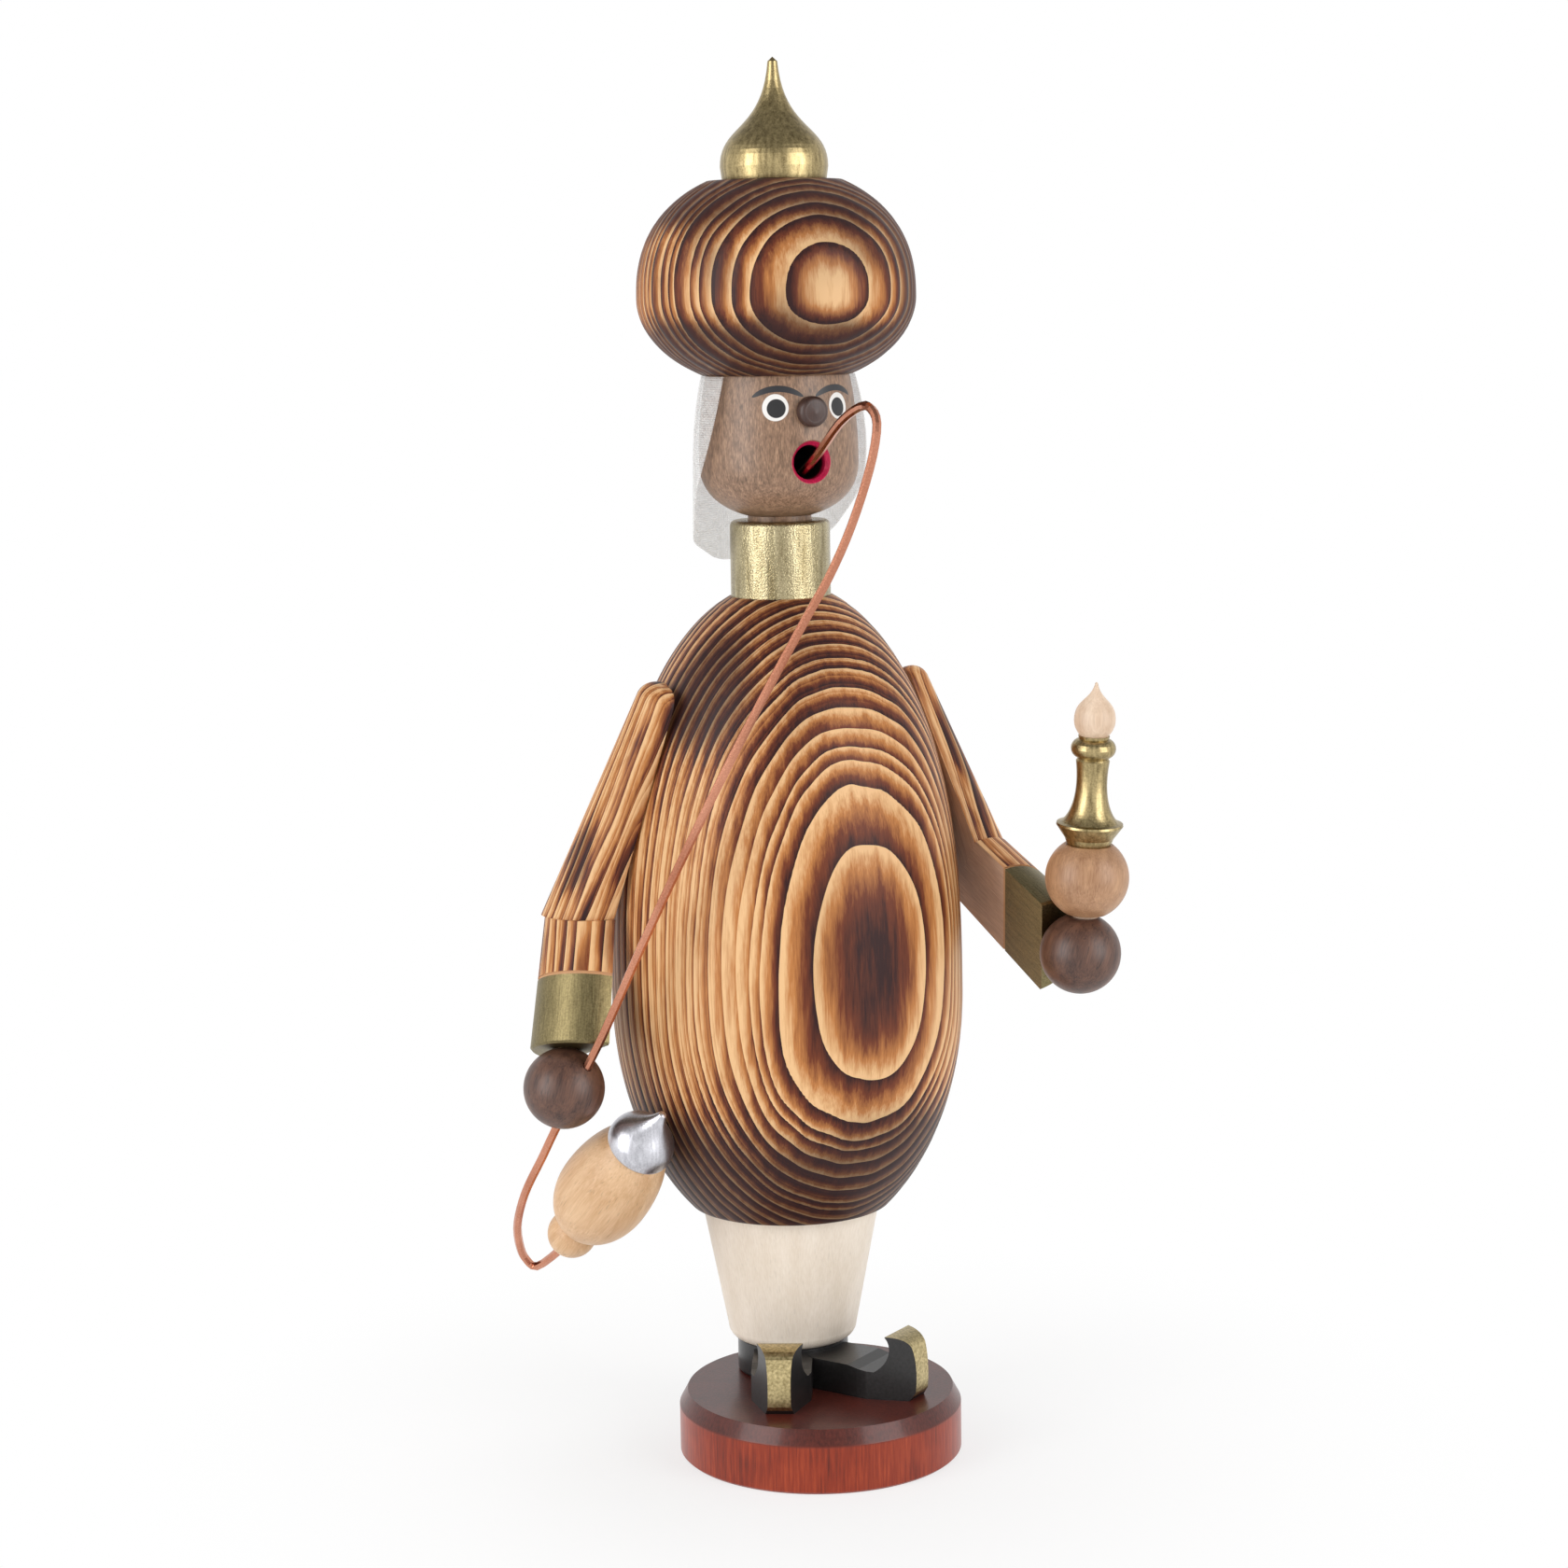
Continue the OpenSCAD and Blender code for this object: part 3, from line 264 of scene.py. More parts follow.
world = bpy.data.worlds.new("studio")
bpy.context.scene.world = world
world.use_nodes = True
tree = world.node_tree
sight = tree.nodes.new("ShaderNodeTexCoord")
upwards = dot(tree, sight.outputs["Generated"], (0, 0, 1))
ceiling = rise(tree, upwards, 0.3, 0.75)
wall = num(tree, "SUBTRACT", 1, ceiling)
straight, mirrored = looking(tree)
white = num(tree, "MAXIMUM", straight, num(tree, "MULTIPLY", mirrored, wall))
room = tree.nodes["Background"]
room.inputs["Color"].default_value = (1, 1, 1, 1)
feed(tree, room.inputs["Strength"], num(tree, "MULTIPLY_ADD", white, 1 - ROOM, ROOM))
print("world: 1 where it is looked at,", ROOM, "as light")

# %% Table top
table_top, tree, shader = new_finish("table_top", Roughness=0.7)
speckle = cloud(tree, place_mm(tree), 30)
feed(tree, shader.inputs["Base Color"],
     ramp(tree, speckle, [(0, (0.93, 0.93, 0.93, 1)), (1, (0.95, 0.95, 0.95, 1))]))
from_middle = tree.nodes.new("ShaderNodeVectorMath")
from_middle.operation = "LENGTH"
feed(tree, from_middle.inputs[0], place_mm(tree))
paper = tree.nodes.new("ShaderNodeEmission")
paper.inputs["Color"].default_value = (1, 1, 1, 1)
paper.inputs["Strength"].default_value = 1.0
in_view = num(tree, "MAXIMUM", *looking(tree))
near, far = 50, 170
far_off = rise(tree, from_middle.outputs["Value"], near, far)
white_share = num(tree, "MULTIPLY_ADD", far_off, 0.3, 0.7)
blend = tree.nodes.new("ShaderNodeMixShader")
feed(tree, blend.inputs[0], num(tree, "MULTIPLY", in_view, white_share))
feed(tree, blend.inputs[1], shader.outputs[0])
feed(tree, blend.inputs[2], paper.outputs[0])
feed(tree, tree.nodes["Material Output"].inputs["Surface"], blend.outputs[0])
floor.data.materials.append(table_top)
print("table top: plain white to the eye from", far, "mm on")

# %% [markdown]
# ## Plain turned wood
# Trousers, balls, bowl, flame and dowels are plain wood under a thin varnish. Fine fibres and
# wider bands are both noise that is drawn out along the grain. Short dark pores are a third,
# finer noise of which only the peaks show.

# %% Plain wood
def plain_wood(name, dark, light, along=(0, 0, 1), fibre=0.35, band=3.0, pores=0.3,
               varnish=0.15):
    """Wood with its grain along a direction; fibre and band are their widths in millimetres."""
    finish, tree, shader = new_finish(name, Roughness=0.45, Coat_Weight=varnish,
                                      Coat_Roughness=0.3)
    fibres = cloud(tree, grain_place(tree, along, 14), fibre, 3)
    bands = cloud(tree, grain_place(tree, along, 7), band, 2)
    tone = num(tree, "ADD", num(tree, "MULTIPLY", fibres, 0.45),
               num(tree, "MULTIPLY", bands, 0.55))
    colour = ramp(tree, tone, [(0.34, dark), (0.66, light)])
    specks = rise(tree, cloud(tree, grain_place(tree, along, 9), fibre * 1.4, 1), 0.62, 0.74)
    specks = num(tree, "MULTIPLY", specks, pores)
    shade = tuple(c * 0.35 for c in dark[:3]) + (1,)
    feed(tree, shader.inputs["Base Color"], mixed(tree, specks, colour, shade))
    raise_by(tree, shader, num(tree, "SUBTRACT", fibres, specks), 0.05)
    return finish


maple = plain_wood("maple", srgb(228, 213, 194), srgb(243, 231, 216), band=5.0, pores=0.1,
                   varnish=0.05)
beech = plain_wood("beech", srgb(148, 106, 74), srgb(190, 148, 112), fibre=0.3, band=2.2,
                   along=(0.2, 0.1, 1))
bowl_beech = plain_wood("bowl_beech", srgb(200, 156, 112), srgb(226, 190, 150), band=2.5,
                        along=(0.2262, -0.6568, 0.7193))
walnut = plain_wood("walnut", srgb(60, 38, 31), srgb(108, 74, 58), band=2.0, pores=0.6,
                    along=(0.35, 0.1, 1))
pale_wood = plain_wood("pale_wood", srgb(206, 176, 148), srgb(232, 208, 184), pores=0.1)
dowel_wood = plain_wood("dowel_wood", srgb(180, 140, 95), srgb(214, 176, 128))
nose_wood = plain_wood("nose_wood", srgb(42, 27, 23), srgb(72, 48, 40), fibre=0.25, pores=0.4,
                       varnish=0.1)
wear(maple, "trousers")
wear(beech, "lamp_ball")
wear(bowl_beech, "pipe_bead", "pipe_bowl")
wear(walnut, "right_hand", "left_hand")
wear(pale_wood, "lamp_peg", "lamp_flame")
wear(dowel_wood, "stand_dowel", "turban_dowel", "right_shoulder_dowel", "left_shoulder_dowel",
     "right_wrist_peg", "left_wrist_peg")
wear(nose_wood, "nose")

# %% [markdown]
# ## Painted and plain metal
# The collar, the finial, the lamp's stem and the cuffs are wood with gold paint, so the grain
# still shows as fine streaks under a satin metal. The bowl's cap has a silver coat, and the hose
# is bright copper wire.

# %% Metal finishes
def metal_coat(name, dark, light, rough, streak=0.5, relief=0.05):
    """Metal with upright streaks; streak and relief are their width and depth in millimetres."""
    finish, tree, shader = new_finish(name, Metallic=1.0)
    streaks = cloud(tree, grain_place(tree, stretch=8), streak, 3)
    mottle = cloud(tree, place_mm(tree), 0.35, 2)
    tone = num(tree, "ADD", num(tree, "MULTIPLY", streaks, 0.6),
               num(tree, "MULTIPLY", mottle, 0.4))
    feed(tree, shader.inputs["Base Color"], ramp(tree, tone, [(0.3, dark), (0.7, light)]))
    feed(tree, shader.inputs["Roughness"],
         num(tree, "MULTIPLY_ADD", mottle, 0.18, rough - 0.09))
    raise_by(tree, shader, tone, relief)
    return finish


gold_dark, gold_light = srgb(112, 98, 66), srgb(200, 180, 132)
gold = metal_coat("gold_paint", gold_dark, gold_light, 0.33, streak=0.9, relief=0.03)
silver = metal_coat("silver_coat", srgb(176, 176, 182), srgb(222, 222, 228), 0.33, relief=0.07)
copper = metal_coat("copper", srgb(176, 112, 86), srgb(222, 158, 130), 0.2, streak=9.0,
                    relief=0.0)
tin = metal_coat("tin", srgb(150, 150, 152), srgb(190, 190, 192), 0.4)
collar_gold = metal_coat("collar_gold", gold_dark, srgb(204, 192, 155), 0.22, streak=2.2,
                         relief=0.7)
wear(collar_gold, "neck_collar")
wear(gold, "turban_finial", "lamp_stem")
wear(silver, "bowl_cap")
wear(copper, "hose_wire")
wear(tin, "incense_dish", "dish_nail")

# %% [markdown]
# ## Base disc
# The disc is stained red-brown and varnished. Its grain stands upright, so the side shows fine
# upright lines, while the top is end grain, which drinks more stain and turns darker.

# %% Stained base
stained, tree, shader = new_finish("stained_wood", Roughness=0.35, Coat_Weight=0.25,
                                   Coat_Roughness=0.12, Specular_IOR_Level=0.3)
lines = cloud(tree, grain_place(tree, stretch=20), 0.5, 4, 0.6)
patches = cloud(tree, place_mm(tree), 9)
side_tone = num(tree, "ADD", num(tree, "MULTIPLY", lines, 0.7),
                num(tree, "MULTIPLY", patches, 0.3))
side_colour = ramp(tree, side_tone, [(0.3, srgb(98, 29, 10)), (0.48, srgb(140, 46, 18)),
                                     (0.7, srgb(174, 70, 34))])
# The dark end grain starts on the bevel, along an uneven edge
level = dot(tree, place_mm(tree), (0, 0, 1))
top_share = rise(tree, num(tree, "ADD", level, num(tree, "MULTIPLY", lines, 0.8)), 10.9, 11.8)
top_colour = ramp(tree, side_tone, [(0.35, srgb(66, 26, 20)), (0.7, srgb(104, 46, 36))])
feed(tree, shader.inputs["Base Color"], mixed(tree, top_share, side_colour, top_colour))
raise_by(tree, shader, lines, 0.06)
wear(stained, "base_disc")

# %% [markdown]
# ## Shoes and ankle block
# Both are wood with black satin paint. Each toe has a gold strip on its front face, which runs up
# over the curl. The strip is found from the direction that the surface faces and from the place
# along the shoe, both read in the shoe's own directions.

# %% Black paint and gold toes
GOLD_REACH = 7.0  # how far back from the toe's tip the gold may go
GOLD_FOOT_Z = 15.5  # the height from which it goes up


def black_paint(name, toe=None):
    """Black paint, and gold at the toe where its place and directions are given."""
    finish, tree, shader = new_finish(name, Coat_Weight=0.25, Coat_Roughness=0.2)
    mottle = cloud(tree, place_mm(tree), 0.6, 3)
    black = ramp(tree, mottle, [(0.3, srgb(16, 15, 15)), (0.7, srgb(34, 32, 32))])
    if toe is None:
        feed(tree, shader.inputs["Base Color"], black)
        feed(tree, shader.inputs["Roughness"], num(tree, "MULTIPLY_ADD", mottle, 0.2, 0.25))
    else:
        tip, forward, across = toe
        place, facing = place_mm(tree), surface_normal(tree)
        ahead = num(tree, "SUBTRACT", dot(tree, place, forward), tip)
        near_tip = num(tree, "GREATER_THAN", ahead, -GOLD_REACH)
        not_side = num(tree, "LESS_THAN", num(tree, "ABSOLUTE", dot(tree, facing, across)), 0.6)
        to_front = num(tree, "GREATER_THAN", dot(tree, facing, forward), -0.02)
        above_sole = num(tree, "GREATER_THAN", dot(tree, place, (0, 0, 1)), GOLD_FOOT_Z)
        strip = num(tree, "MULTIPLY", num(tree, "MULTIPLY", near_tip, not_side),
                    num(tree, "MULTIPLY", to_front, above_sole))
        toe_gold = ramp(tree, mottle, [(0.3, srgb(150, 134, 92)), (0.7, srgb(212, 194, 145))])
        feed(tree, shader.inputs["Base Color"], mixed(tree, strip, black, toe_gold))
        feed(tree, shader.inputs["Metallic"], strip)
        feed(tree, shader.inputs["Roughness"], num(tree, "MULTIPLY_ADD", mottle, 0.2, 0.28))
    raise_by(tree, shader, mottle, 0.03)
    return finish


def shoe_directions(side, reach, turn, splay):
    """Place of the toe's tip along the shoe, and the shoe's forward and sideways directions.
    The tip lies at that reach and turn from the axis, and the shoe points outwards by the splay."""
    turn, splay = math.radians(turn), math.radians(side * splay)
    tip = Vector((side * reach * math.sin(turn), AXIS_Y - reach * math.cos(turn), 0))
    forward = Vector((math.sin(splay), -math.cos(splay), 0))
    return tip.dot(forward), forward, Vector((math.cos(splay), math.sin(splay), 0))


wear(black_paint("black_paint"), "ankle_block")
wear(black_paint("right_shoe_paint", shoe_directions(-1, 35.4, 29.8, 27)), "right_shoe")
wear(black_paint("left_shoe_paint", shoe_directions(1, 38.4, 25.5, 32)), "left_shoe")

# %% [markdown]
# ## Head and painted face
# The head is brown wood with a short, flecked grain. The face is painted on it: two white eyes
# with black pupils, two brows and a crimson ring round the mouth. Each painted spot is a distance
# to its middle, measured along the round surface, so the paint follows the head.

# %% Head wood
HEAD_Z = 239.1  # height of the eyes, from which all the paint is placed
HEAD_RADIUS = 17.3  # radius of the head at that height

head_wood, tree, shader = new_finish("face_wood", Coat_Weight=0.15, Coat_Roughness=0.3)
fibres = cloud(tree, grain_place(tree, stretch=5), 0.3, 3, 0.6)
flecks = cloud(tree, grain_place(tree, (0.1, 0.2, 1), 3), 0.9, 2)
tone = num(tree, "ADD", num(tree, "MULTIPLY", fibres, 0.6), num(tree, "MULTIPLY", flecks, 0.4))
wood = ramp(tree, tone, [(0.34, srgb(98, 75, 57)), (0.52, srgb(142, 111, 88)),
                         (0.68, srgb(176, 142, 114))])
shifted = tree.nodes.new("ShaderNodeVectorMath")
shifted.operation = "SUBTRACT"
shifted.inputs[1].default_value = (0, AXIS_Y, HEAD_Z)
feed(tree, shifted.inputs[0], place_mm(tree))
parts = tree.nodes.new("ShaderNodeSeparateXYZ")
feed(tree, parts.inputs[0], shifted.outputs[0])
left_right, back_front, up = parts.outputs
angle = num(tree, "ARCTAN2", left_right, num(tree, "MULTIPLY", back_front, -1))
around = num(tree, "MULTIPLY", num(tree, "ABSOLUTE", angle), HEAD_RADIUS)
print("head wood read round a middle at", HEAD_Z, "mm")


# %% Eyes and brows
def length_of(across, upright):
    return num(tree, "SQRT", num(tree, "ADD", num(tree, "POWER", across, 2),
                                 num(tree, "POWER", upright, 2)))


def spot(centre, radii):
    """1 inside an oval on the head, counted alike on both sides of the nose."""
    across = num(tree, "DIVIDE", num(tree, "SUBTRACT", around, centre[0]), radii[0])
    upright = num(tree, "DIVIDE", num(tree, "SUBTRACT", up, centre[1]), radii[1])
    return num(tree, "SUBTRACT", 1, rise(tree, length_of(across, upright), 0.97, 1.03))


eye_white = spot((7.95, 0.1), (2.95, 2.95))
pupil = spot((7.75, -0.1), (2.1, 2.07))
face = mixed(tree, eye_white, wood, srgb(238, 236, 232))
face = mixed(tree, pupil, face, srgb(12, 12, 15))
# Along a brow, arch runs from -1 to 1, and the stroke narrows towards both ends
arch = num(tree, "DIVIDE", num(tree, "SUBTRACT", around, 7.4), 5.9)
arch_z = num(tree, "MULTIPLY_ADD", num(tree, "POWER", num(tree, "ABSOLUTE", arch), 2), -1.75, 4.2)
stroke = num(tree, "SQRT", num(tree, "MAXIMUM", 0.0, num(
    tree, "SUBTRACT", 1.0, num(tree, "POWER", num(tree, "ABSOLUTE", arch), 4))))
off_brow = num(tree, "SUBTRACT", num(tree, "ABSOLUTE", num(tree, "SUBTRACT", up, arch_z)),
               num(tree, "MULTIPLY", stroke, 0.7))
brow = num(tree, "SUBTRACT", 1, rise(tree, off_brow, -0.06, 0.06))
face = mixed(tree, brow, face, srgb(26, 25, 30))

# %% Mouth
MOUTH_DOWN = 12.1  # from the eyes down to the mouth

in_front = num(tree, "LESS_THAN", back_front, 0)
from_mouth = length_of(left_right, num(tree, "ADD", up, MOUTH_DOWN))
lips = num(tree, "MULTIPLY", in_front,
           num(tree, "SUBTRACT", 1, rise(tree, from_mouth, 4.65, 4.8)))
crimson = ramp(tree, fibres, [(0.3, srgb(158, 10, 52)), (0.7, srgb(212, 32, 88))])
face = mixed(tree, lips, face, crimson)
# Painted shade: deeper in the mouth's bore, the wood is painted nearly black
mouth_bore_shade = num(tree, "MULTIPLY", num(tree, "LESS_THAN", from_mouth, 4.2),
           rise(tree, back_front, -15.8, -14.2))
face = mixed(tree, mouth_bore_shade, face, srgb(24, 12, 12))
feed(tree, shader.inputs["Base Color"], face)
feed(tree, shader.inputs["Roughness"], num(tree, "MULTIPLY_ADD", fibres, 0.2, 0.35))
raise_by(tree, shader, fibres, 0.05, 0.4)
wear(head_wood, "head")

# %% [markdown]
# ## Scorched and brushed wood
# Body, turban and arms are softwood that was scorched and then brushed, so that the soft part of
# each growth ring is worn away and pale, and the hard part stands proud and dark. The colour
# depends on one number, the count of growth rings from the bark side: its whole part says which
# ring it is, and its fraction how far across that ring the place lies.

# %% Scorched wood
BURNT = srgb(48, 22, 22)
BROWN = srgb(112, 56, 34)
TAN = srgb(188, 124, 70)
PALE = srgb(231, 188, 138)


def scorched(tree, count, along, burn, flip=False):
    """Colour of scorched wood from the count of growth rings and the strength of the flame.
    Each ring has its own slope from dark to pale and its own darkest tone."""
    fibres = cloud(tree, grain_place(tree, along, 16), 0.3, 3, 0.6)
    streaks = cloud(tree, grain_place(tree, along, 9), 1.5, 3)
    across = num(tree, "FRACT", count)
    if flip:
        across = num(tree, "SUBTRACT", 1.0, across)
    each = tree.nodes.new("ShaderNodeTexWhiteNoise")
    each.noise_dimensions = "1D"
    feed(tree, each.inputs["W"], num(tree, "FLOOR", count))
    own = each.outputs["Value"]
    slope = num(tree, "ADD", burn, num(tree, "MULTIPLY_ADD", own, 0.5, 0.25))
    weak = num(tree, "MULTIPLY", num(tree, "FRACT", num(tree, "MULTIPLY", own, 7)), 0.4)
    least = num(tree, "MULTIPLY_ADD", burn, -0.85, num(tree, "ADD", weak, 0.28), clamp=True)
    tone = num(tree, "MULTIPLY_ADD", num(tree, "POWER", across, slope),
               num(tree, "SUBTRACT", 1.0, least), least)
    for grain, share in ((fibres, 0.4), (streaks, 0.6)):
        tone = num(tree, "MULTIPLY_ADD", num(tree, "SUBTRACT", grain, 0.5), share, tone)
    between = num(tree, "FRACT", num(tree, "MULTIPLY", count, 2.37))
    outer = rise(tree, count, 5, 8)
    tone = num(tree, "MULTIPLY_ADD", num(tree, "SUBTRACT", between, 0.6),
               num(tree, "MULTIPLY", outer, 0.28), tone)
    colour = ramp(tree, tone, [(0.03, BURNT), (0.34, BROWN), (0.66, TAN), (0.95, PALE)])
    soot = num(tree, "MULTIPLY", rise(tree, burn, 0.45, 1.1), 0.75)
    return mixed(tree, soot, colour, srgb(44, 27, 28)), across, fibres


def finish_scorched(tree, shader, colour, fibres, across):
    """Colour, gloss and the fine relief that the wire brush leaves."""
    feed(tree, shader.inputs["Base Color"], colour)
    feed(tree, shader.inputs["Roughness"], num(tree, "MULTIPLY_ADD", fibres, 0.2, 0.34))
    shader.inputs["Specular IOR Level"].default_value = 0.2
    relief = num(tree, "MULTIPLY_ADD", across, -0.6, num(tree, "MULTIPLY", fibres, 0.4))
    raise_by(tree, shader, relief, 0.07)


# %% [markdown]
# ## Arms
# Each arm is cut from the same wood, with its grain along the arm. The rings are flat layers, and
# those of the two arms are tilted differently to their flat sides. The cuff is gold from the
# scored line on, the line itself is bare wood, and the flat sides were never scorched.

# %% Arms
ARM_TILT = math.radians(14)  # the arms' flat sides lean on the body at this angle
SCORED = 0.65  # width of the bare line at the cuff


def outwards(side):
    """Direction from the body to the arm; side is 1 for the figure's left and -1 for its right."""
    return Vector((side * math.cos(ARM_TILT), 0, math.sin(ARM_TILT)))


def arm_wood(name, along, layer, out, elbow=None, cuff=None):
    """Scorched wood, bare on the flat side at the body, and gold from the cuff's line on."""
    finish, tree, shader = new_finish(name)
    place = place_mm(tree)
    drift = cloud(tree, grain_place(tree, along, 7), 7, 1)
    count = num(tree, "ADD", num(tree, "DIVIDE", dot(tree, place, layer), 2.6),
                num(tree, "MULTIPLY", drift, 1.5))
    flame = rise(tree, cloud(tree, grain_place(tree, along, 4), 6, 1), 0.42, 0.72)
    burn = num(tree, "MULTIPLY_ADD", flame, 0.6, 0.22)
    colour, across, fibres = scorched(tree, count, along, burn)
    bare = num(tree, "LESS_THAN", dot(tree, surface_normal(tree), out), -0.9)
    bare_colour = ramp(tree, fibres, [(0.3, srgb(186, 156, 136)), (0.7, srgb(222, 194, 172))])
    colour = mixed(tree, bare, colour, bare_colour)
    finish_scorched(tree, shader, colour, fibres, num(tree, "MULTIPLY", across,
                                                      num(tree, "SUBTRACT", 1.0, bare)))
    if cuff is not None:
        reach = num(tree, "SUBTRACT", dot(tree, place, along), Vector(elbow).dot(Vector(along)))
        line = num(tree, "MULTIPLY", num(tree, "GREATER_THAN", reach, cuff - 0.05),
                   num(tree, "LESS_THAN", reach, cuff + SCORED))
        gilt = rise(tree, reach, cuff + SCORED - 0.05, cuff + SCORED + 0.05)
        mottle = cloud(tree, place, 0.4, 2)
        streaks = num(tree, "MULTIPLY_ADD", fibres, 0.6, num(tree, "MULTIPLY", mottle, 0.4))
        cuff_gold = ramp(tree, streaks, [(0.3, srgb(92, 82, 56)), (0.7, srgb(156, 142, 102))])
        colour = mixed(tree, line, colour, srgb(206, 160, 118))
        colour = mixed(tree, gilt, colour, cuff_gold)
        feed(tree, shader.inputs["Base Color"], colour)
        metal = num(tree, "MULTIPLY_ADD", bare, -0.5, 1.0)
        feed(tree, shader.inputs["Metallic"], num(tree, "MULTIPLY", gilt, metal))
    print(name, "has its grain along", [round(c, 2) for c in along])
    return finish


# Each arm's grain, and for a forearm the middle of the elbow and the cuff's distance from it
arms = {
    "right_upper_arm": ((-0.2332, 0.2656, -0.9355), None),
    "right_forearm": ((-0.2267, -0.3486, -0.9094), ((-43.4, 24.4, 125.2), 16.0)),
    "left_upper_arm": ((0.2365, -0.2113, -0.9484), None),
    "left_forearm": ((0.1015, -0.9078, -0.407), ((41.9, 6.7, 131.0), 17.8)),
}
for name, (along, sleeve) in arms.items():
    side = -1 if name.startswith("right") else 1
    out, along = outwards(side), Vector(along)
    front, sideways = (0.9, 0.44) if side < 0 else (0.3, 0.95)
    layer = (along.cross(out) * front + out * sideways).normalized()
    elbow, cuff = sleeve if sleeve else (None, None)
    wear(arm_wood(name + "_wood", along, layer, out, elbow, cuff), name)

# %% [markdown]
# ## Body and turban
# The brushed rings of the body and the turban are deep enough to see on the outline, so both are
# modelled here with real relief. The outline is turned round the axis with the spin operator,
# as on a lathe. Then each vertex gets its count of growth rings, which are almost flat layers in
# the wood, and sinks in where the soft part of a ring was brushed away.

# %% Turning tools
def egg_reach(widest, end, height, fullness):
    """Where an egg that has its end radius at that height would close to a point."""
    return height / (1 - (end / widest) ** 2) ** (1 / fullness)


def egg_radius(widest, reach, fullness, dz):
    return widest * math.sqrt(max(0.0, 1 - (dz / reach) ** fullness))


def egg_outline(widest, low, high, wide_z, step):
    """(radius, height) points of a turned egg, evenly spaced, from its foot to its top.
    low and high are (end radius, height, fullness) of the two halves."""
    dense, count = [], 400
    for sign, (end, height, fullness) in ((-1, low), (1, high)):
        reach = egg_reach(widest, end, height, fullness)
        rises = [height * math.sin(math.pi / 2 * i / count) for i in range(count + 1)]
        half = [(egg_radius(widest, reach, fullness, dz), wide_z + sign * dz) for dz in rises]
        dense += half[::-1] if sign < 0 else half[1:]
    points, walked = [dense[0]], 0.0
    for a, b in zip(dense, dense[1:]):
        walked += math.dist(a, b)
        if walked >= step:
            points.append(b)
            walked = 0.0
    points[-1] = dense[-1]
    return points


def turned(name, outline, steps):
    """Spins a closed outline of (radius, height) points round the figure's axis."""
    mesh = bmesh.new()
    rail = [mesh.verts.new((r, AXIS_Y, z)) for r, z in outline]
    edges = [mesh.edges.new(pair) for pair in zip(rail, rail[1:] + rail[:1])]
    bmesh.ops.spin(mesh, geom=rail + edges, cent=(0, AXIS_Y, 0), axis=(0, 0, 1),
                   angle=2 * math.pi, steps=steps, use_merge=True)
    bmesh.ops.remove_doubles(mesh, verts=mesh.verts, dist=1e-4)
    bmesh.ops.recalc_face_normals(mesh, faces=mesh.faces)
    mesh.normal_update()
    print(name, "turned:", len(mesh.verts), "vertices")
    return mesh


def finish_piece(name, mesh, material, body, slot, *replaced):
    """Millimetres become metres, and the piece joins the frame."""
    bmesh.ops.scale(mesh, vec=(MM, MM, MM), verts=mesh.verts)
    data = bpy.data.meshes.new(name)
    mesh.to_mesh(data)
    mesh.free()
    data.materials.append(material)
    data.shade_smooth()
    piece = bpy.data.objects.new(name, data)
    bpy.context.scene.collection.objects.link(piece)
    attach(piece, body)
    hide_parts(*replaced)
    print(name, "has", len(data.polygons), "faces and stands for", ", ".join(replaced))
    return piece


# %% Growth rings
RING = 2.9  # width of the rings past the measured ones


def ring_count(depth, depths):
    """Counts rings by depth: the listed ones first, and then one every RING."""
    last = 0.0
    for i, edge in enumerate(depths):
        if depth < edge:
            return i + max(0.0, depth - last) / (edge - last)
        last = edge
    return len(depths) + (depth - last) / RING


def brush_rings(mesh, middle, facing, bow, depths, deepest, is_outside, burn_at, flip, relief):
    """Stores each vertex's ring count and scorch, and sinks the soft part of each ring.
    Depth is counted back along facing from the front, which is deepest before the middle. It
    grows with the bow above and below, and wanders a little as real rings do."""
    ring = mesh.verts.layers.float.new("ring")
    scorch = mesh.verts.layers.float.new("scorch")
    shift = 0.35 if flip else -0.35
    moves = []
    for vert in mesh.verts:
        p = vert.co
        off = p - Vector(middle)
        wander = noise.noise(Vector((p.x / 19, p.y / 19, p.z / 55))) * 1.1
        wander += noise.noise(Vector((p.x / 6, p.y / 6, p.z / 26 + 7))) * 0.3
        depth = deepest - off.dot(facing) + bow * off.z ** 2 / 2
        wander *= min(1.0, max(0.0, depth) / 6 + 0.15)
        count = ring_count(max(0.0, depth + wander), depths)
        vert[ring], vert[scorch] = count, burn_at(p)
        fade = is_outside(p)
        if fade > 0:
            soft = 0.5 - 0.5 * math.cos(2 * math.pi * (count + shift))
            moves.append((vert, vert.normal * (-relief * fade * (0.1 + 0.9 * soft))))
    for vert, move in moves:
        vert.co += move
    print("brushed vertices:", len(moves), "by up to", relief, "mm")


def ring_finish(name, flip=False):
    """Scorched wood that reads the ring count and the scorch stored on a turned piece."""
    finish, tree, shader = new_finish(name)
    stored = []
    for layer in ("ring", "scorch"):
        node = tree.nodes.new("ShaderNodeAttribute")
        node.attribute_name = layer
        stored.append(node.outputs["Fac"])
    count, burn = stored
    colour, across, fibres = scorched(tree, count, (0, 0, 1), burn, flip)
    finish_scorched(tree, shader, colour, fibres, across)
    return finish


def towards_viewer(bearing, lean):
    """Direction that a piece's rings face: its bearing from the front, and its upward lean."""
    return Vector((math.sin(math.radians(bearing)), -math.cos(math.radians(bearing)), lean))


def from_front(p):
    """Bearing of a place round the axis, in degrees, from the front to the figure's left."""
    return math.degrees(math.atan2(p.x, AXIS_Y - p.y))


def smooth(value, low, high):
    """The same step as rise, for a plain number."""
    t = min(1.0, max(0.0, (value - low) / (high - low)))
    return t * t * (3 - 2 * t)


